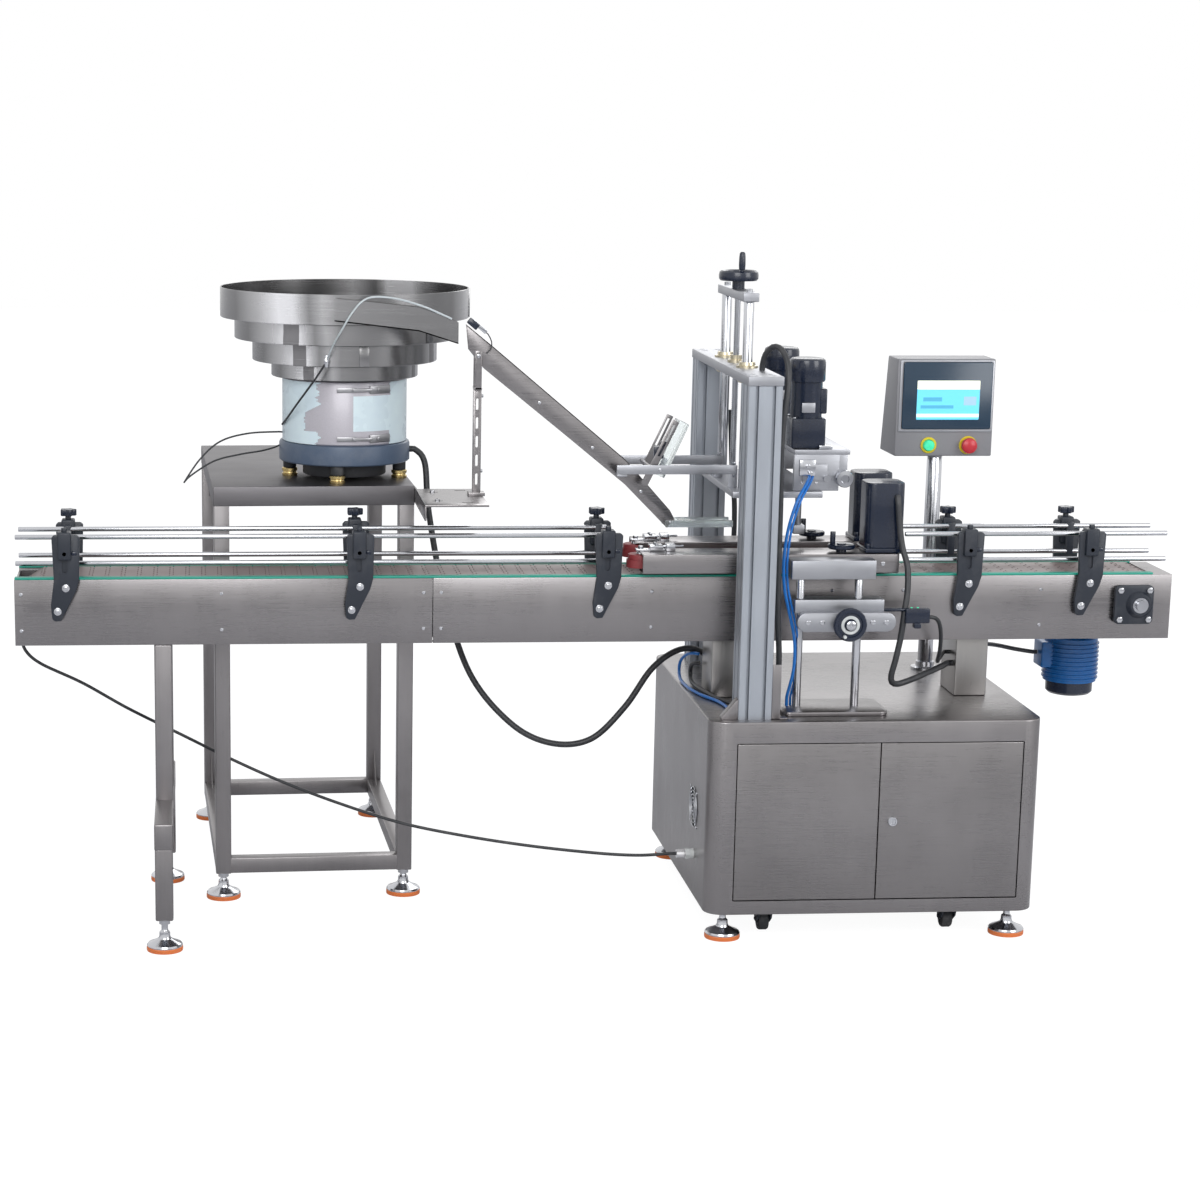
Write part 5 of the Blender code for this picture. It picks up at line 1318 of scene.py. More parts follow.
foot_plate = bar(
    "Z", rounded((0.415, 0.670), (POST_Y - 0.075, POST_Y + 0.080), 0.020, 8), DECK, 0.5503, 0.002,
)
done("bench_foot", foot_plate, steel_x, "machine", "stainless", "grip_stand")

# %% [markdown]
# The bench's dial moves the unit in and out. Its black rim, pale ring and bright hub are turned
# one by one, and all three ride on the handwheel.

# %% Bench dial
seat = POST_Y - 0.0683
dial = lathe("Y", (0.567, 0.762), [
    (0, seat), (0.034, seat), (0.0385, seat - 0.002), (0.040, seat - 0.006), (0.040, seat - 0.014),
    (0.0375, seat - 0.018), (0.030, seat - 0.0185), (0.028, seat - 0.015), (0.014, seat - 0.014),
    (0.012, seat - 0.0165), (0, seat - 0.0165),
], 48)
done("bench_dial", dial, black, "grip_handwheel", "black_plastic", "grip_handwheel")
hub_ring = lathe("Y", (0.567, 0.762), [
    (0.0145, seat - 0.0138), (0.0215, seat - 0.0142), (0.0225, seat - 0.0158), (0.0205, seat - 0.0172),
    (0.0155, seat - 0.0165), (0.0145, seat - 0.0138),
], 40)
hub_pin = disc("Y", (0.553, 0.735), 0.0042, seat - 0.0270, seat - 0.0175, 0.001, 16)
done("bench_dial_ring", [hub_ring, hub_pin], pale_plastic, "grip_handwheel", "chrome")
hub = lathe("Y", (0.567, 0.762), [
    (0, seat - 0.016), (0.011, seat - 0.016), (0.0115, seat - 0.024), (0.008, seat - 0.026),
    (0.004, seat - 0.026), (0.004, seat - 0.021), (0, seat - 0.021),
], 24)
done("bench_dial_hub", hub, bright, "grip_handwheel", "chrome")

# %% [markdown]
# ## Feeder stand
#
# The feeder stands on a table of square tube with a folded sheet top and gussets in its corners.
# The stand isn't quite square to the conveyor, so its pieces are made straight and then turned.

# %% Feeder stand
STAND = Vector((-0.697, 0.542, 0))
SKEW = Matrix.Rotation(math.radians(1.97), 4, "Z")
TURN = Matrix.Translation(STAND) @ SKEW @ Matrix.Translation(-STAND)
hx, hy, t = 0.227, 0.3985, 0.020  # half the legs' spacing both ways, and half a tube
cx, cy = STAND.x, STAND.y
top_x, top_y = (cx - hx - t, cx + hx + t), (cy - hy - t, cy + hy + t)
table = block(top_x, top_y, (0.993, 1.041), 0.002, 3)
under_x, under_y = (top_x[0] + 0.002, top_x[1] - 0.002), (top_y[0] + 0.002, top_y[1] - 0.002)
carve(table, block(under_x, under_y, (0.90, 1.0385), 0.0005))
tubes = []
for lx in (cx - hx, cx + hx):
    tubes.append(block((lx - 0.019, lx + 0.019), (cy - hy, cy + hy), (0.066, 0.104), 0.003))
    for ly in (cy - hy, cy + hy):
        tubes.append(
            block(
                (lx - t + 0.0008, lx + t - 0.0008), (ly - t + 0.0008, ly + t - 0.0008), (0.064, 1.0385),
                0.003, 3,
            )
        )
        metal_foot, pad = foot(lx, ly, 0.066)
        metal_foot.data.transform(TURN)
        pad.data.transform(TURN)
        feet.append(metal_foot)
        pads.append(pad)
for ly in (cy - hy, cy + hy):
    tubes.append(block((cx - hx, cx + hx), (ly - 0.0185, ly + 0.0185), (0.0655, 0.1045), 0.003))
gussets = []
for side in (-1, 1):
    for y0, step in ((cy - hy, 1), (cy + hy, -1)):
        for z0, up_way in ((0.104, 1), (0.992, -1)):
            corner = [
                (y0 + step * 0.019, z0), (y0 + step * 0.085, z0), (y0 + step * 0.019, z0 + up_way * 0.085),
            ]
            gussets.append(bar("X", corner, cx + side * hx - 0.0015, cx + side * hx + 0.0015))
table.data.transform(TURN)
done("feeder_table", table, steel_table_shaded, "machine", "stainless", "feeder_stand")
legs = join(tubes + gussets)
legs.data.transform(TURN)
done("feeder_legs", legs, steel_z, "machine", "stainless")
done("levelling_feet", feet, bright, "machine", "chrome")
done("levelling_pads", pads, orange, "machine", "rubber")

# %% [markdown]
# ## Bowl feeder
#
# The bowl sits on a round drum that hides its springs, over a dark enamelled ring on four brass
# feet with rubber buffers.

# %% Drum, ring and feet
drum_metal = coated("drum_metal", (0.50, 0.48, 0.52), 0.34, 300, 0.12, metallic=0.15, coat=0.2)
drum = lathe("Z", (BOWL_X, BOWL_Y), [
    (0, 1.135), (0.151, 1.135), (0.154, 1.138), (0.154, 1.286), (0.152, 1.290), (0, 1.290),
], 72)
done("drum_skin", drum, drum_metal, "machine", "drum_film", "feeder_drum")
ring = lathe("Z", (BOWL_X, BOWL_Y), [
    (0, 1.085), (0.160, 1.085), (0.163, 1.088), (0.163, 1.128), (0.161, 1.133), (0.155, 1.135), (0, 1.135),
], 72)
done("drum_ring", ring, ring_paint, "machine", "drum_film")
spots = []
for i in range(4):
    a = math.radians(-100 + 90 * i)
    spots.append((BOWL_X + 0.138 * math.cos(a), BOWL_Y + 0.138 * math.sin(a)))
mounts = [lathe("Z", spot, [
    (0, 1.0413), (0.0185, 1.0413), (0.0195, 1.044), (0.0195, 1.0475), (0.017, 1.0485), (0.0165, 1.052),
    (0.0195, 1.054), (0.0195, 1.060), (0.018, 1.0615), (0, 1.0615),
], 32) for spot in spots]
done("drum_feet", mounts, brass, "machine", "chrome")
buffers = [disc("Z", spot, 0.0165, 1.0615, 1.0852, 0.002, 24) for spot in spots]
buffers.append(disc("Z", (BOWL_X, BOWL_Y), 0.104, 1.050, 1.0852, 0.004, 48))
done("drum_buffers", buffers, rubber, "machine", "rubber")

# %% [markdown]
# The drum came wrapped in protective film, and it was torn off only where the clamps are. The
# film is a fine grid of faces bent round the drum, with the torn part left out, then thickened.


# %% Torn film
FACING = -93.9  # the turn, in degrees, that faces the operator


def on_drum(turn, z, radius=0.1543):
    """A place on the drum's skin, so many degrees from the side that faces the operator."""
    a = math.radians(turn + FACING)
    return (BOWL_X + radius * math.cos(a), BOWL_Y + radius * math.sin(a), z)


def on_wall(piece, a, radius, z=0.0):
    """Moves a piece from the origin to a round wall, turned to lie along it."""
    place = Matrix.Translation((BOWL_X + radius * math.cos(a), BOWL_Y + radius * math.sin(a), z))
    piece.data.transform(place @ Matrix.Rotation(a - math.pi / 2, 4, "Z"))


def covered(turn, z):
    """Whether the film is still there."""
    ragged = 1.6 * math.sin(z * 230) + 1.1 * math.sin(z * 610 + 1)
    tear = -24 + ragged
    if 1.168 < z < 1.214:
        tear = -38 + 0.4 * ragged
    elif 1.214 <= z < 1.232:
        tear = -24 - 14 * (1.232 - z) / 0.018
    right = 8.5 < turn and 1.171 < z < 1.256
    return -150 < turn < tear or right or turn > 47 + 0.2 * ragged


COLUMNS, ROWS = 220, 76
FILM_START, FILM_SWEEP = -150, 330
FILM_LOW, FILM_HEIGHT = 1.1365, 0.1525


def film_place(i, j):
    """The turn and height of one corner of the film's grid."""
    return FILM_START + FILM_SWEEP * i / COLUMNS, FILM_LOW + FILM_HEIGHT * j / ROWS


grid = {}
points, faces = [], []
for i in range(COLUMNS):
    for j in range(ROWS):
        turn, z = film_place(i, j)
        if covered(turn + 0.75, z + 0.001):
            face = []
            for key in ((i, j), (i + 1, j), (i + 1, j + 1), (i, j + 1)):
                if key not in grid:
                    grid[key] = len(points)
                    points.append(on_drum(*film_place(*key)))
                face.append(grid[key])
            faces.append(face)
skin = new_mesh(points, [], faces)
thick = skin.modifiers.new("thick", "SOLIDIFY")
thick.thickness = 0.0007
thick.offset = 1
bpy.ops.object.modifier_apply(modifier=thick.name)
done("drum_film", skin, film, "machine", "drum_film")

# %% [markdown]
# Two toggle clamps close the drum's skin. Each is a strap, a link and a plate, bent round the
# drum one after the other, with a rivet.

# %% Toggle clamps
toggles = []
for z in (1.272, 1.152):
    for t0, t1, half, out in ((-6, 12, 0.006, 0.004), (8, 26, 0.004, 0.008), (24, 46, 0.010, 0.003)):
        reach = 0.1545 * math.radians(t1 - t0) / 2
        tab = block((-reach, reach), (-0.0005, out), (-half, half), 0.0012)
        on_wall(tab, math.radians((t0 + t1) / 2 + FACING), 0.1538, z)
        toggles.append(tab)
    rivet = disc("Y", (0, 0), 0.005, 0.002, 0.006, 0.001, 16)
    on_wall(rivet, math.radians(33 + FACING), 0.1538, z)
    toggles.append(rivet)
done("drum_toggles", toggles, nickel, "machine", "chrome")

# %% [markdown]
# The bowl grows in four steps of bent sheet. One profile, up the outside and down the inside, is
# spun into the whole wall, and a thin strip is laid over each seam. The outlet leaves the top
# step as a sloping channel.

# %% Bowl with its steps, seams and outlet
TIERS = ((0.182, 1.2953, 1.334), (0.229, 1.334, 1.388), (0.273, 1.388, 1.440), (0.308, 1.440, 1.512))
profile = [(0, 1.2953)]
for radius, low, high in TIERS:
    profile += [(radius - 0.0015, low), (radius, low + 0.0015), (radius, high)]
profile += [(0.3075, 1.5125), (0.3055, 1.5125), (0.3048, 1.512)]
for k in range(3, -1, -1):
    radius, low, high = TIERS[k]
    inner_top = high + 0.003 if k < 3 else high
    profile += [(radius - 0.003, inner_top), (radius - 0.003, low + 0.003)]
profile += [(0, 1.315)]
bowl = [lathe("Z", (BOWL_X, BOWL_Y), profile, 96)]
for i, (radius, low, high) in enumerate(TIERS):
    for k in range(2):
        a = math.radians(-118 + 150 * k + 37 * i)
        seam = block((-0.012, 0.012), (-0.0012, 0.0012), (low + 0.002, high - 0.001), 0.0004)
        on_wall(seam, a, radius + 0.0006)
        bowl.append(seam)
outlet_floor = [
    (-0.640, 1.452), (-0.440, 1.429), (-0.346, 1.399), (-0.346, 1.402), (-0.440, 1.432), (-0.640, 1.455),
]
bowl.append(bar("Y", outlet_floor, -0.016, 0.016))
outlet_wall = [
    (-0.640, 1.452), (-0.440, 1.429), (-0.346, 1.399), (-0.346, 1.450), (-0.372, 1.462),
    (-0.440, 1.485), (-0.560, 1.498), (-0.640, 1.505),
]
for y in (-0.016, 0.014):
    bowl.append(bar("Y", outlet_wall, y, y + 0.002))
done("bowl_sheet", bowl, bowl_steel, "bowl", "stainless", "feeder_bowl")

# %% [markdown]
# ## Chute and its stay
#
# Caps slide down an open channel that hangs on a pin beside the bowl. Its side walls are one
# outline, twice, with a floor between them and narrow lips that keep the caps in.

# %% Chute
top = [(-0.326, 1.444), (-0.260, 1.391), (0.061, 1.123), (0.172, 1.000), (0.184, 0.978)]
bottom = [(0.166, 0.957), (0.063, 1.061), (-0.086, 1.182), (-0.283, 1.340), (-0.320, 1.385)]
walls = []
for y in (-0.016, 0.0135):
    walls.append(bar("Y", top + bottom, y, y + 0.0025, 0.0006))
floor_strip = bottom + [(x + 0.002, z + 0.003) for x, z in bottom[::-1]]
walls.append(bar("Y", floor_strip, -0.0150, 0.0150))
lips = [(x, z - 0.003) for x, z in top]
for y in (-0.016, 0.010):
    walls.append(bar("Y", top + lips[::-1], y, y + 0.006))
done("chute_channel", walls, steel_x, "chute", "stainless", "chute")
pins = [
    disc("Y", (-0.298, 1.372), 0.005, -0.027, -0.0155, 0.001, 16),
    disc("Y", (-0.298, 1.372), 0.005, 0.0155, 0.027, 0.001, 16),
]
for place in ((-0.15, 1.26), (-0.02, 1.152), (0.10, 1.046)):
    pins.append(disc("Y", place, 0.004, -0.0185, -0.0155, 0.0008, 12))
for side in (-1, 1):
    pins.append(disc("Y", (0.171, 0.974), 0.003, *mirrored(side, 0.0155, 0.0325), 0.0006, 12))
done("chute_pins", pins, bright, "chute", "chrome")

# %% [markdown]
# A slotted flat bar on an angle bracket holds the chute's pin. The slots let its place be set.

# %% Stay
stay = block((-0.435, -0.283), (-0.170, 0.112), (1.031, 1.036), 0.001)
for x, y in ((-0.40, -0.10), (-0.40, 0.05), (-0.33, -0.13), (-0.33, 0.08)):
    carve(
        stay, bar("Z", rounded((x - 0.014, x + 0.014), (y - 0.0035, y + 0.0035), 0.0033, 4), 1.02, 1.05),
    )
upright = block((-0.308, -0.288), (-0.006, 0.006), (1.034, 1.296), 0.001)
for z in (1.075, 1.12, 1.165, 1.21, 1.255):
    carve(upright, bar("Y", rounded((-0.3015, -0.2945), (z - 0.014, z + 0.014), 0.0033, 4), -0.02, 0.02))
stay_parts = [stay, upright, block((-0.435, -0.431), (-0.169, 0.160), (0.998, 1.035), 0.0008),
              block((-0.318, -0.278), (-0.018, 0.018), (1.0355, 1.044), 0.001),
              block((-0.307, -0.289), (-0.0235, 0.0235), (1.290, 1.297), 0.001)]
for side in (-1, 1):
    ear = block((-0.306, -0.290), mirrored(side, 0.0187, 0.0235), (1.291, 1.384), 0.001)
    stay_parts.append(carve(ear, disc("Y", (-0.298, 1.372), 0.0056, side * 0.01, side * 0.03)))
done("stay_plate", stay_parts, steel_x, "machine", "stainless", "chute_stay")
heads = [
    lathe("Z", (x, y), [
        (0, 1.036), (0.006, 1.036), (0.006, 1.041), (0.0035, 1.0415), (0.0035, 1.039), (0, 1.039),
    ], 6)
    for x, y in ((-0.40, -0.10), (-0.40, 0.05))
]
heads += [disc("X", (0, z), 0.005, -0.2885, -0.2835, 0.001, 6) for z in (1.095, 1.275)]
done("stay_bolts", heads, bright, "machine", "chrome")

# %% [markdown]
# ## Operator panel
#
# A wedge-shaped box on a round post holds a touch screen over a green and a red button. Its side
# is the outline, pulled across.

# %% Panel box and post
post = disc("Z", (0.903, 0.300), 0.019, DECK, 1.0965, 0.001, 40)
collar = lathe("Z", (0.903, 0.300), [
    (0, 0.5404), (0.036, 0.5404), (0.036, 0.546), (0.024, 0.548), (0.0235, 0.560), (0, 0.560),
])
done("panel_pole", [post, collar], bright, "machine", "stainless", "panel_post")
box_outline = [(0.250, 1.097), (0.250, 1.342), (0.350, 1.342), (0.400, 1.097)]
box = bar("X", box_outline, 0.785, 1.035, 0.0035, 3)
for x in (0.872, 0.973):
    carve(box, disc("Y", (x, 1.125), 0.0142, 0.24, 0.264))
done("panel_case", box, panel_grey, "panel", "grey_paint", "panel_box")

# %% [markdown]
# The screen is a black bezel in a pale rim, with the glass in front. Its picture is sums of
# steps over its height and width: a few plain coloured bars, and nothing to read.

# %% Screen
bezel = bar("Y", rounded((0.800, 1.028), (1.166, 1.334), 0.006, 5), 0.2445, 0.250, 0.0015)
rim = bar("Y", rounded((0.792, 1.0325), (1.158, 1.3385), 0.004, 4), 0.2478, 0.2502, 0.001)
carve(rim, bar("Y", rounded((0.7985, 1.0285), (1.1645, 1.3350), 0.004, 4), 0.24, 0.256))
done("screen_rim", rim, aluminium_x, "panel", "grey_paint")
done("screen_bezel", bezel, screen_black, "panel", "black_plastic")
glass = bar("Y", rounded((0.836, 0.996), (1.190, 1.288), 0.002, 3), 0.2438, 0.2446)
picture = Recipe("screen_picture")
across = picture.node("SeparateXYZ", {}, {0: picture.place}, 0)
height = picture.node("SeparateXYZ", {}, {0: picture.place}, 2)


def patch(left, right, low, high):
    """1 inside a rectangle of the screen, and 0 elsewhere."""
    return (height > low) * (height < high) * (across > left) * (across < right)


header = height > 1.266
bars = patch(0.852, 0.900, 1.236, 1.246) + patch(0.846, 0.930, 1.218, 1.226)
tile = patch(0.956, 0.988, 1.226, 1.248)
keys = (height < 1.205) * (height > 1.196)
base = picture.blend(header, (0.14, 0.56, 0.78), (0.80, 0.84, 0.72))
base = picture.blend(bars, base, (0.08, 0.34, 0.52))
base = picture.blend(tile, base, (0.30, 0.46, 0.60))
base = picture.blend(keys, base, (0.62, 0.78, 0.84))
picture.set(Emission_Strength=0.75)
picture.set(Base_Color=base, Emission_Color=base, Roughness=0.12)
done("screen_glass", glass, picture.material, "panel", "black_plastic")

# %% [markdown]
# The green button is a lamp under a flat cap, and the red one a mushroom. Both sit in yellow
# rings and can be pressed, so each cap rides on its own body.

# %% Buttons
rings = []
for x, r in ((0.872, 0.0205), (0.973, 0.023)):
    rings.append(lathe("Y", (x, 1.125), [
        (0.0143, 0.2495), (r, 0.2495), (r, 0.248), (r - 0.002, 0.2465), (0.0150, 0.2465), (0.0143, 0.2495),
    ], 32))
done("button_rings", rings, yellow, "panel", "green_button")
green = Recipe("green_lamp")
spread = green.noise(160, (1, 1, 1), 2.0)
glow_colour = green.blend(spread, (0.02, 0.62, 0.30), (0.10, 0.90, 0.50))
green.set(Emission_Strength=0.35)
green.set(Base_Color=glow_colour, Emission_Color=glow_colour, Roughness=0.22)
cap = lathe("Y", (0.872, 1.125), [
    (0, 0.258), (0.0133, 0.258), (0.0133, 0.240), (0.0120, 0.2382), (0.006, 0.2372), (0, 0.237),
], 32)
done("start_cap", cap, green.material, "start_button", "green_button", "start_button")
mushroom = lathe("Y", (0.973, 1.125), [
    (0, 0.258), (0.0133, 0.258), (0.0133, 0.239), (0.0195, 0.238), (0.020, 0.234), (0.0185, 0.228),
    (0.012, 0.224), (0, 0.2225),
], 32)
done("stop_cap", mushroom, red_cap, "stop_button", "red_button", "stop_button")

# %% [markdown]
# ## Gear motor
#
# A blue enamelled reducer hangs behind the outfeed end, with its motor below it. Cooling fins
# run round the motor, and a pressed cover guards its fan.

# %% Gear motor
mx, my = 1.237, 0.148
BORE = 0.0131  # the drive shaft's bore, with its play
body = [(0, 0.541), (0.066, 0.541)]
for i in range(9):
    z = 0.548 + 0.011 * i
    body += [(0.066, z), (0.070, z + 0.001), (0.070, z + 0.004), (0.066, z + 0.005)]
body += [(0.066, 0.652), (0.060, 0.655), (0.050, 0.657), (0.050, 0.703), (0, 0.703)]
fan_cover = [(0, 0.505), (0.040, 0.505), (0.052, 0.508), (0.058, 0.514), (0.0585, 0.541), (0, 0.541)]
parts = [
    lathe("Z", (mx, my), body, 40),
    block((mx - 0.006, 1.385), (0.0963, 0.1913), (0.700, 0.840), 0.006, 3),
    block((mx - 0.085, mx - 0.052), (my - 0.035, my + 0.035), (0.577, 0.643), 0.004, 3),
]
for z in (0.717, 0.823):
    for x in (1.250, 1.372):
        parts.append(disc("Y", (x, z), 0.006, 0.190, 0.1950, 0.001, 6))
carve(parts[1], disc("Y", (SHAFT_X, SHAFT_Z), BORE, 0.05, 0.30))
parts.append(lathe("Y", (SHAFT_X, SHAFT_Z), [
    (BORE, 0.190), (0.040, 0.190), (0.042, 0.193), (0.042, 0.197), (0.030, 0.199), (BORE, 0.199),
    (BORE, 0.190),
], 40))
done("motor_casting", parts, blue_paint, "machine", "blue_paint", "gearmotor")
done("motor_fan_cover", lathe("Z", (mx, my), fan_cover, 40), black, "machine", "black_plastic")

# %% [markdown]
# The drive shaft's front end runs in a flange bearing on the conveyor's side: a square plate
# with four nuts and a collar.

# %% Flange bearing
flange = bar("Y", rounded((1.257, 1.353), (0.730, 0.826), 0.012, 5), -0.1103, -0.0963, 0.002)
carve(flange, disc("Y", (SHAFT_X, SHAFT_Z), BORE, -0.2, -0.05))
collar = lathe("Y", (SHAFT_X, SHAFT_Z), [
    (BORE, -0.122), (0.024, -0.122), (0.027, -0.119), (0.033, -0.110), (BORE, -0.110), (BORE, -0.122),
], 40)
done("bearing_flange", [flange, collar], satin_black, "machine", "black_plastic", "drive_bearing")
nuts = [
    disc("Y", (x, z), 0.008, -0.1165, -0.1100, 0.001, 6) for x in (1.269, 1.341) for z in (0.742, 0.814)
]
nuts.append(lathe("Y", (SHAFT_X, SHAFT_Z), [
    (BORE, -0.1235), (0.019, -0.1235), (0.0195, -0.1215), (BORE, -0.1215), (BORE, -0.1235),
], 32))
done("bearing_nuts", nuts, bright, "machine", "chrome")

# %% [markdown]
# ## Column gusset and side plate
#
# A triangular plate braces the front column on its left, and a narrow folded plate stands on
# its right, where the cables come up from the cabinet.

# %% Gusset and side plate
gusset = bar("Y", [
    (0.2955, 0.5405), (0.3008, 0.5405), (0.3008, 0.590), (0.2955, 0.585), (0.262, 0.5455), (0.262, 0.5405),
], -0.290, -0.262, 0.001)
upright = block((0.3815, 0.402), (-0.290, -0.287), (DECK, 0.672), 0.0008)
flat = block((0.3815, 0.420), (-0.290, -0.225), (DECK, 0.5433), 0.0008)
done("column_plates", [gusset, upright, flat], steel_z, "machine", "stainless")

# %% [markdown]
# ## Hanger, sensor and clear guards
#
# Two slotted bars lean from the lift's arms down to the chute, with a strip of clear acrylic and
# a small sensor between them. Clear acrylic also catches the caps at the chute's lower end.

# %% Clear acrylic
acrylic = Recipe("clear_acrylic")
smudge = acrylic.noise(30, (1, 1, 1), 3.0)
acrylic.set(Transmission_Weight=0.9, IOR=1.3)
hazy = acrylic.blend(smudge, (0.80, 0.86, 0.86), (0.92, 0.96, 0.96))
acrylic.set(Base_Color=hazy, Roughness=smudge * 0.15 + 0.03)
print("clear acrylic mixed")

# %% [markdown]
# The bars slant, so their four corners are worked out from the two ends and half the width.


# %% Hanger bars and guards
def slanted(x0, z0, x1, z1, half):
    """A flat bar's four corners between two places, half as wide on each side."""
    along = Vector((x1 - x0, z1 - z0)).normalized()
    nx, nz = -along.y * half, along.x * half
    return [(x0 + nx, z0 + nz), (x0 - nx, z0 - nz), (x1 - nx, z1 - nz), (x1 + nx, z1 + nz)]


hangers = []
for y, (x0, z0, x1, z1) in (
    (-0.0445, (0.177, 1.219, 0.103, 1.066)), (0.130, (0.192, 1.214, 0.130, 1.080)),
):
    strip = bar("Y", slanted(x0, z0, x1, z1, 0.0085), y, y + 0.003, 0.0004)
    (sx0, sz0), (sx1, sz1) = ((x0 + (x1 - x0) * k, z0 + (z1 - z0) * k) for k in (0.06, 0.55))
    slot = slanted(sx0, sz0, sx1, sz1, 0.0028)
    hangers.append(carve(strip, bar("Y", slot, y - 0.01, y + 0.01)))
hangers.append(disc("Y", (0.124, 1.103), 0.004, -0.052, 0.140, 0.001, 16))
hangers.append(block((0.108, 0.146), (-0.0415, -0.0300), (1.094, 1.112), 0.0015))
done("hanger_bars", hangers, steel_x, "lift", "stainless")
guard = bar("Y", slanted(0.201, 1.212, 0.143, 1.084, 0.0125), -0.025, 0.045, 0.0006)
done("clear_guard", guard, acrylic.material, "lift", "chrome")
hanger_sensor = [
    block((0.126, 0.150), (-0.040, -0.026), (1.128, 1.158), 0.002),
    block((0.140, 0.156), (-0.038, -0.028), (1.150, 1.170), 0.002),
]
done("hanger_sensor", hanger_sensor, black, "lift", "black_plastic")
arm_bolts = [
    disc("Z", (0.318, y), 0.0062, z, z + 0.006, 0.001, 6) for y in (-0.050, 0.140)
    for z in (1.1145, 1.0855)
]
arm_bolts += [disc("Y", (0.140, 1.103), 0.0045, -0.0575, -0.0535, 0.001, 6)]
done("arm_bolts", arm_bolts, bright, "lift", "chrome")
catcher = [
    block((0.160, 0.325), (-0.030, -0.027), (0.960, 0.977), 0.0008),
    block((0.160, 0.325), (0.027, 0.030), (0.960, 0.977), 0.0008),
    block((0.196, 0.318), (-0.0275, 0.0275), (0.9715, 0.9745), 0.0006),
]
done("cap_catcher", catcher, acrylic.material, "chute", "chrome")

# %% [markdown]
# A box sensor on a small plate counts the caps where the chute meets the bowl. Both are made
# level and then tilted along the chute.


# %% Chute sensor
def along_chute(piece, x, z):
    """Tilts a piece about its own middle, to lie along the chute."""
    middle = Matrix.Translation((x, 0, z))
    piece.data.transform(middle @ Matrix.Rotation(math.radians(40), 4, "Y") @ middle.inverted())
    return piece


sensor_plate = along_chute(
    block((-0.318, -0.276), (-0.029, -0.0205), (1.436, 1.446), 0.001), -0.297, 1.441,
)
sensor_box = along_chute(block((-0.326, -0.298), (-0.034, -0.016), (1.440, 1.456), 0.002), -0.312, 1.448)
done("chute_sensor_plate", sensor_plate, bright, "chute", "chrome")
done("chute_sensor", sensor_box, black, "chute", "black_plastic")

# %% [markdown]
# ## Thin cables and hoses
#
# The rest of the wiring is thin. Each cable is one smooth curve that both leaves the machine and
# goes back into it. Where its two ends are on bodies that move apart, it is a mesh tube instead.


# %% Cable that stays, and cable as a mesh tube
def cable(name, route, radius, material, body):
    """A cable whose two ends both go back into the machine."""
    made = wire([at(*p) for p in route], radius, 0.010)
    made.name = name
    made.data.materials.append(material)
    length = length_of([Vector(p.co[:3]) for p in made.data.splines[0].points])
    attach(made, body)
    tuple(at(*route[0]))
    print(name, round(length, 3), "m")
    return made


def flexing_cable(name, route, radius, material):
    """A cable made as a mesh tube, with its place baked into its mesh."""
    route = [at(*p) for p in route]
    made = wire_mesh(route, radius, 0.010)
    made.name = name
    made.data.materials.append(material)
    path = smooth_route(route, 0.010)
    length = length_of(path)
    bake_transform(made)
    print(name, round(length, 3), "m")
    return made


# %% [markdown]
# Two blue air hoses run side by side from the head down to the cabinet. A thick black cable runs
# down each column.

# %% Down the columns
HOSE_ROUTE = (
    (0.486, -0.1255, 1.100), (0.4850, -0.1340, 1.095), (0.470, -0.165, 1.080), (0.444, -0.195, 1.045),
    (0.424, -0.202, 0.980), (0.416, -0.203, 0.907), (0.420, -0.203, 0.840), (0.433, -0.201, 0.786),
    (0.450, -0.197, 0.713), (0.452, -0.190, 0.640), (0.440, -0.180, 0.570), (0.440, -0.180, 0.5405),
)
flexing_cable("column_hose", HOSE_ROUTE, 0.0040, blue_hose)
AIR_ROUTE = [(x + 0.0095, y + 0.00475, z) for x, y, z in HOSE_ROUTE]
flexing_cable("column_air_line", AIR_ROUTE, 0.0030, blue_hose)
cable("column_cable", [
    (0.3620, -0.1350, 1.3495), (0.3620, -0.1370, 1.3600), (0.3660, -0.1500, 1.3880),
    (0.3820, -0.1700, 1.4080), (0.3990, -0.1920, 1.3980), (0.4080, -0.2150, 1.3600),
    (0.4030, -0.2330, 1.3000), (0.3940, -0.2400, 1.2200), (0.3930, -0.2405, 1.1300),
    (0.3950, -0.2400, 1.0500), (0.3960, -0.2400, 0.9000), (0.3990, -0.2380, 0.7800),
    (0.4080, -0.2250, 0.6800), (0.4100, -0.2120, 0.5900), (0.4100, -0.2080, 0.5405),
], 0.0070, lead_black, "machine")
cable("rear_column_cable", [
    (0.3905, 0.3850, 1.2000), (0.3910, 0.3845, 1.1900), (0.3980, 0.3820, 1.0500),
    (0.4070, 0.3780, 0.9500), (0.4060, 0.3720, 0.8000), (0.3990, 0.3700, 0.6500),
    (0.3960, 0.3700, 0.5600), (0.3960, 0.3700, 0.5405),
], 0.0070, lead_black, "machine")

# %% [markdown]
# A hose and a cable curl out of the left pedestal and lie on the cabinet, round the column.

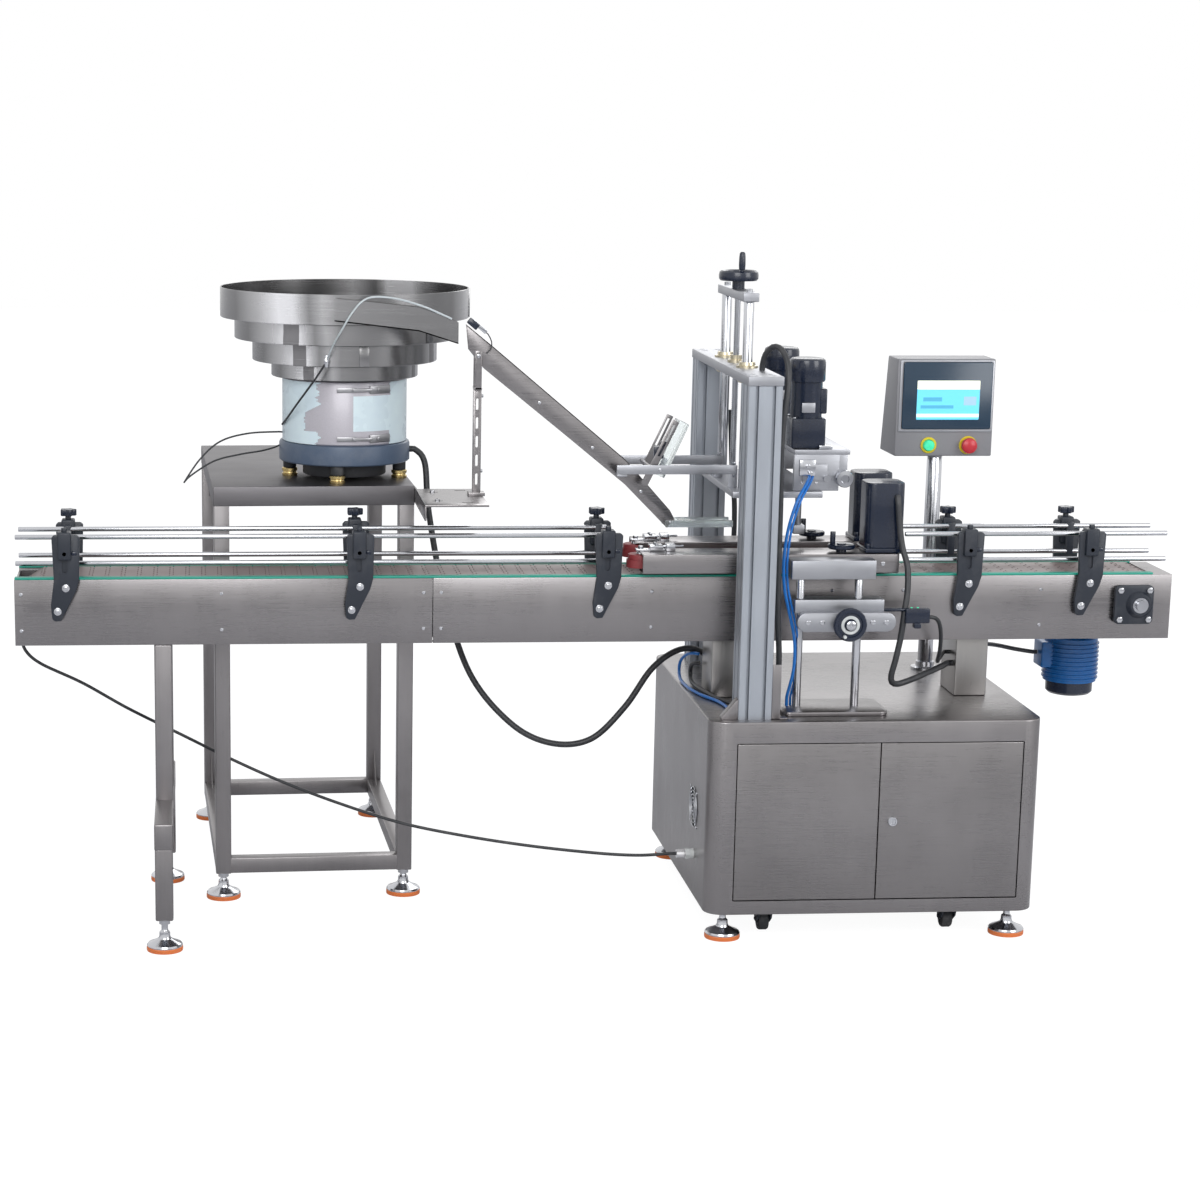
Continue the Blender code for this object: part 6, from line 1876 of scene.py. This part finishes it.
# %% Bundle on the cabinet
cable("bundle_hose", [
    (0.276, 0.110, 0.6200), (0.2700, 0.118, 0.6200), (0.256, 0.150, 0.612), (0.246, 0.190, 0.588),
    (0.243, 0.195, 0.562), (0.240, 0.150, 0.5465), (0.243, 0.060, 0.5455), (0.258, -0.020, 0.5450),
    (0.278, -0.075, 0.5450), (0.288, -0.105, 0.5450), (0.2955, -0.150, 0.5450), (0.2985, -0.205, 0.5450),
    (0.2995, -0.2105, 0.5450),
], 0.0040, blue_hose, "machine")
cable("bundle_cable", [
    (0.2763, 0.090, 0.600), (0.2705, 0.094, 0.600), (0.262, 0.120, 0.592), (0.262, 0.140, 0.565),
    (0.262, 0.110, 0.5480), (0.266, 0.040, 0.5475), (0.276, -0.020, 0.5475), (0.290, -0.080, 0.5475),
    (0.306, -0.120, 0.5475), (0.318, -0.160, 0.5475), (0.322, -0.200, 0.5475), (0.322, -0.2105, 0.5475),
], 0.0055, lead_black, "machine")

# %% [markdown]
# The gear motor, the front gripping motor and the small control box each have a lead to the
# right pedestal.

# %% Leads to the right pedestal
cable("motor_lead", [
    (1.1495, 0.148, 0.612), (1.139, 0.148, 0.612), (1.090, 0.135, 0.622), (1.040, 0.110, 0.636),
    (1.000, 0.070, 0.648), (0.980, 0.046, 0.652), (0.9685, 0.046, 0.652),
], 0.0055, lead_black, "machine")
cable("grip_motor_lead", [
    (0.7000, -0.1372, 1.050), (0.7000, -0.1445, 1.040), (0.7050, -0.1480, 0.985),
    (0.7130, -0.1530, 0.930), (0.7230, -0.1700, 0.885), (0.7220, -0.1850, 0.830),
    (0.7150, -0.1930, 0.780), (0.7080, -0.1960, 0.720), (0.6980, -0.1960, 0.665),
    (0.6900, -0.1900, 0.618), (0.7050, -0.1780, 0.600), (0.7450, -0.1600, 0.606),
    (0.8000, -0.1200, 0.617), (0.8500, -0.0600, 0.620), (0.8760, -0.0150, 0.618), (0.8877, -0.0150, 0.618),
], 0.0075, lead_black, "machine")
cable("control_lead", [
    (0.7350, -0.200, 0.768), (0.7700, -0.200, 0.768), (0.7960, -0.192, 0.760), (0.8120, -0.170, 0.725),
    (0.8200, -0.140, 0.675), (0.8260, -0.100, 0.640), (0.8450, -0.050, 0.638), (0.8740, 0.0150, 0.640),
    (0.8877, 0.0150, 0.640),
], 0.0050, lead_black, "machine")

# %% [markdown]
# The feeder has a looped wire behind it, and an air tube over the bowl that blows the caps along
# the outlet. Tube and wire meet in a small turned joint.

# %% Feeder's wires and air tube
cable("feeder_wire", [
    (-0.7520, 0.3300, 1.1500), (-0.7620, 0.3280, 1.1510), (-0.8410, 0.3000, 1.1500),
    (-0.9100, 0.2600, 1.1350), (-0.9600, 0.2300, 1.0950), (-1.0000, 0.2050, 1.0400),
    (-0.9850, 0.2050, 1.0560), (-0.9260, 0.2300, 1.0900), (-0.8600, 0.2600, 1.1030),
    (-0.8100, 0.2850, 1.1080), (-0.7760, 0.3000, 1.1150), (-0.7630, 0.3050, 1.1200),
], 0.0022, lead_black, "machine")
flexing_cable("drum_wire", [
    (-0.6550, 0.0780, 1.3500), (-0.6590, 0.0810, 1.3420), (-0.6780, 0.0980, 1.3100),
    (-0.7030, 0.1330, 1.2700), (-0.7260, 0.1780, 1.2320), (-0.7430, 0.2280, 1.2000),
    (-0.7535, 0.2700, 1.1800), (-0.7560, 0.2850, 1.1750),
], 0.0026, lead_black)
cable("air_tube", [
    (-0.6550, 0.0780, 1.3500), (-0.6530, 0.0720, 1.3560), (-0.6420, 0.0260, 1.3920),
    (-0.6200, -0.0180, 1.4380), (-0.6000, -0.0225, 1.4720), (-0.5750, -0.0228, 1.5000),
    (-0.5460, -0.0228, 1.5100), (-0.4900, -0.0228, 1.5050), (-0.4200, -0.0228, 1.4840),
    (-0.3630, -0.0228, 1.4590),
], 0.0024, clear_hose, "bowl")
joint = [
    disc("Z", (-0.6550, 0.0785), 0.0062, 1.3420, 1.3570, 0.001, 6),
    disc("Z", (-0.6550, 0.0785), 0.0048, 1.3350, 1.3640, 0.001, 16),
    disc("Y", (-0.6550, 1.3490), 0.0040, 0.0700, 0.0880, 0.001, 16),
]
done("air_joint", joint, bright, "bowl", "chrome")
cable("sensor_wire", [
    (-0.2960, -0.0250, 1.4375), (-0.2920, -0.0255, 1.4340), (-0.2780, -0.0270, 1.4250),
    (-0.2680, -0.0280, 1.4050), (-0.2700, -0.0275, 1.3880), (-0.2800, -0.0270, 1.3780),
], 0.0015, lead_black, "chute")

# %% [markdown]
# The control box hangs beside the bench on a short rod, with a nut below and two small lamps.

# %% Control box
box_parts = [
    block((0.714, 0.773), (-0.212, -0.190), (0.754, 0.790), 0.003, 3),
    block((0.735, 0.752), (-0.214, -0.192), (0.742, 0.755), 0.002),
    disc("X", (-0.200, 0.7855), 0.0040, 0.650, 0.716, 0.001, 16),
]
done("control_box", box_parts, black, "machine", "black_plastic")
lamps = [disc("Z", (x, -0.200), 0.003, 0.790, 0.7915, 0.0005, 12) for x in (0.730, 0.745)]
done("control_lamps", lamps, green.material, "machine", "green_button")

# %% [markdown]
# ## Finishes on the plain solids that stay
#
# A few solids already have the right shape. They only need a finish.

# %% Finishes on the plain solids that stay
for node, material in {
    "conveyor_bed": steel_x, "drive_shaft": bright, "idler_shaft": bright, "fan_rotor": satin_black,
    "front_grip_pulley": aluminium, "rear_grip_pulley": aluminium,
}.items():
    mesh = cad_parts[node].data
    mesh.materials.clear()
    mesh.materials.append(material)
    print(node, "keeps its shape, in", material.name)
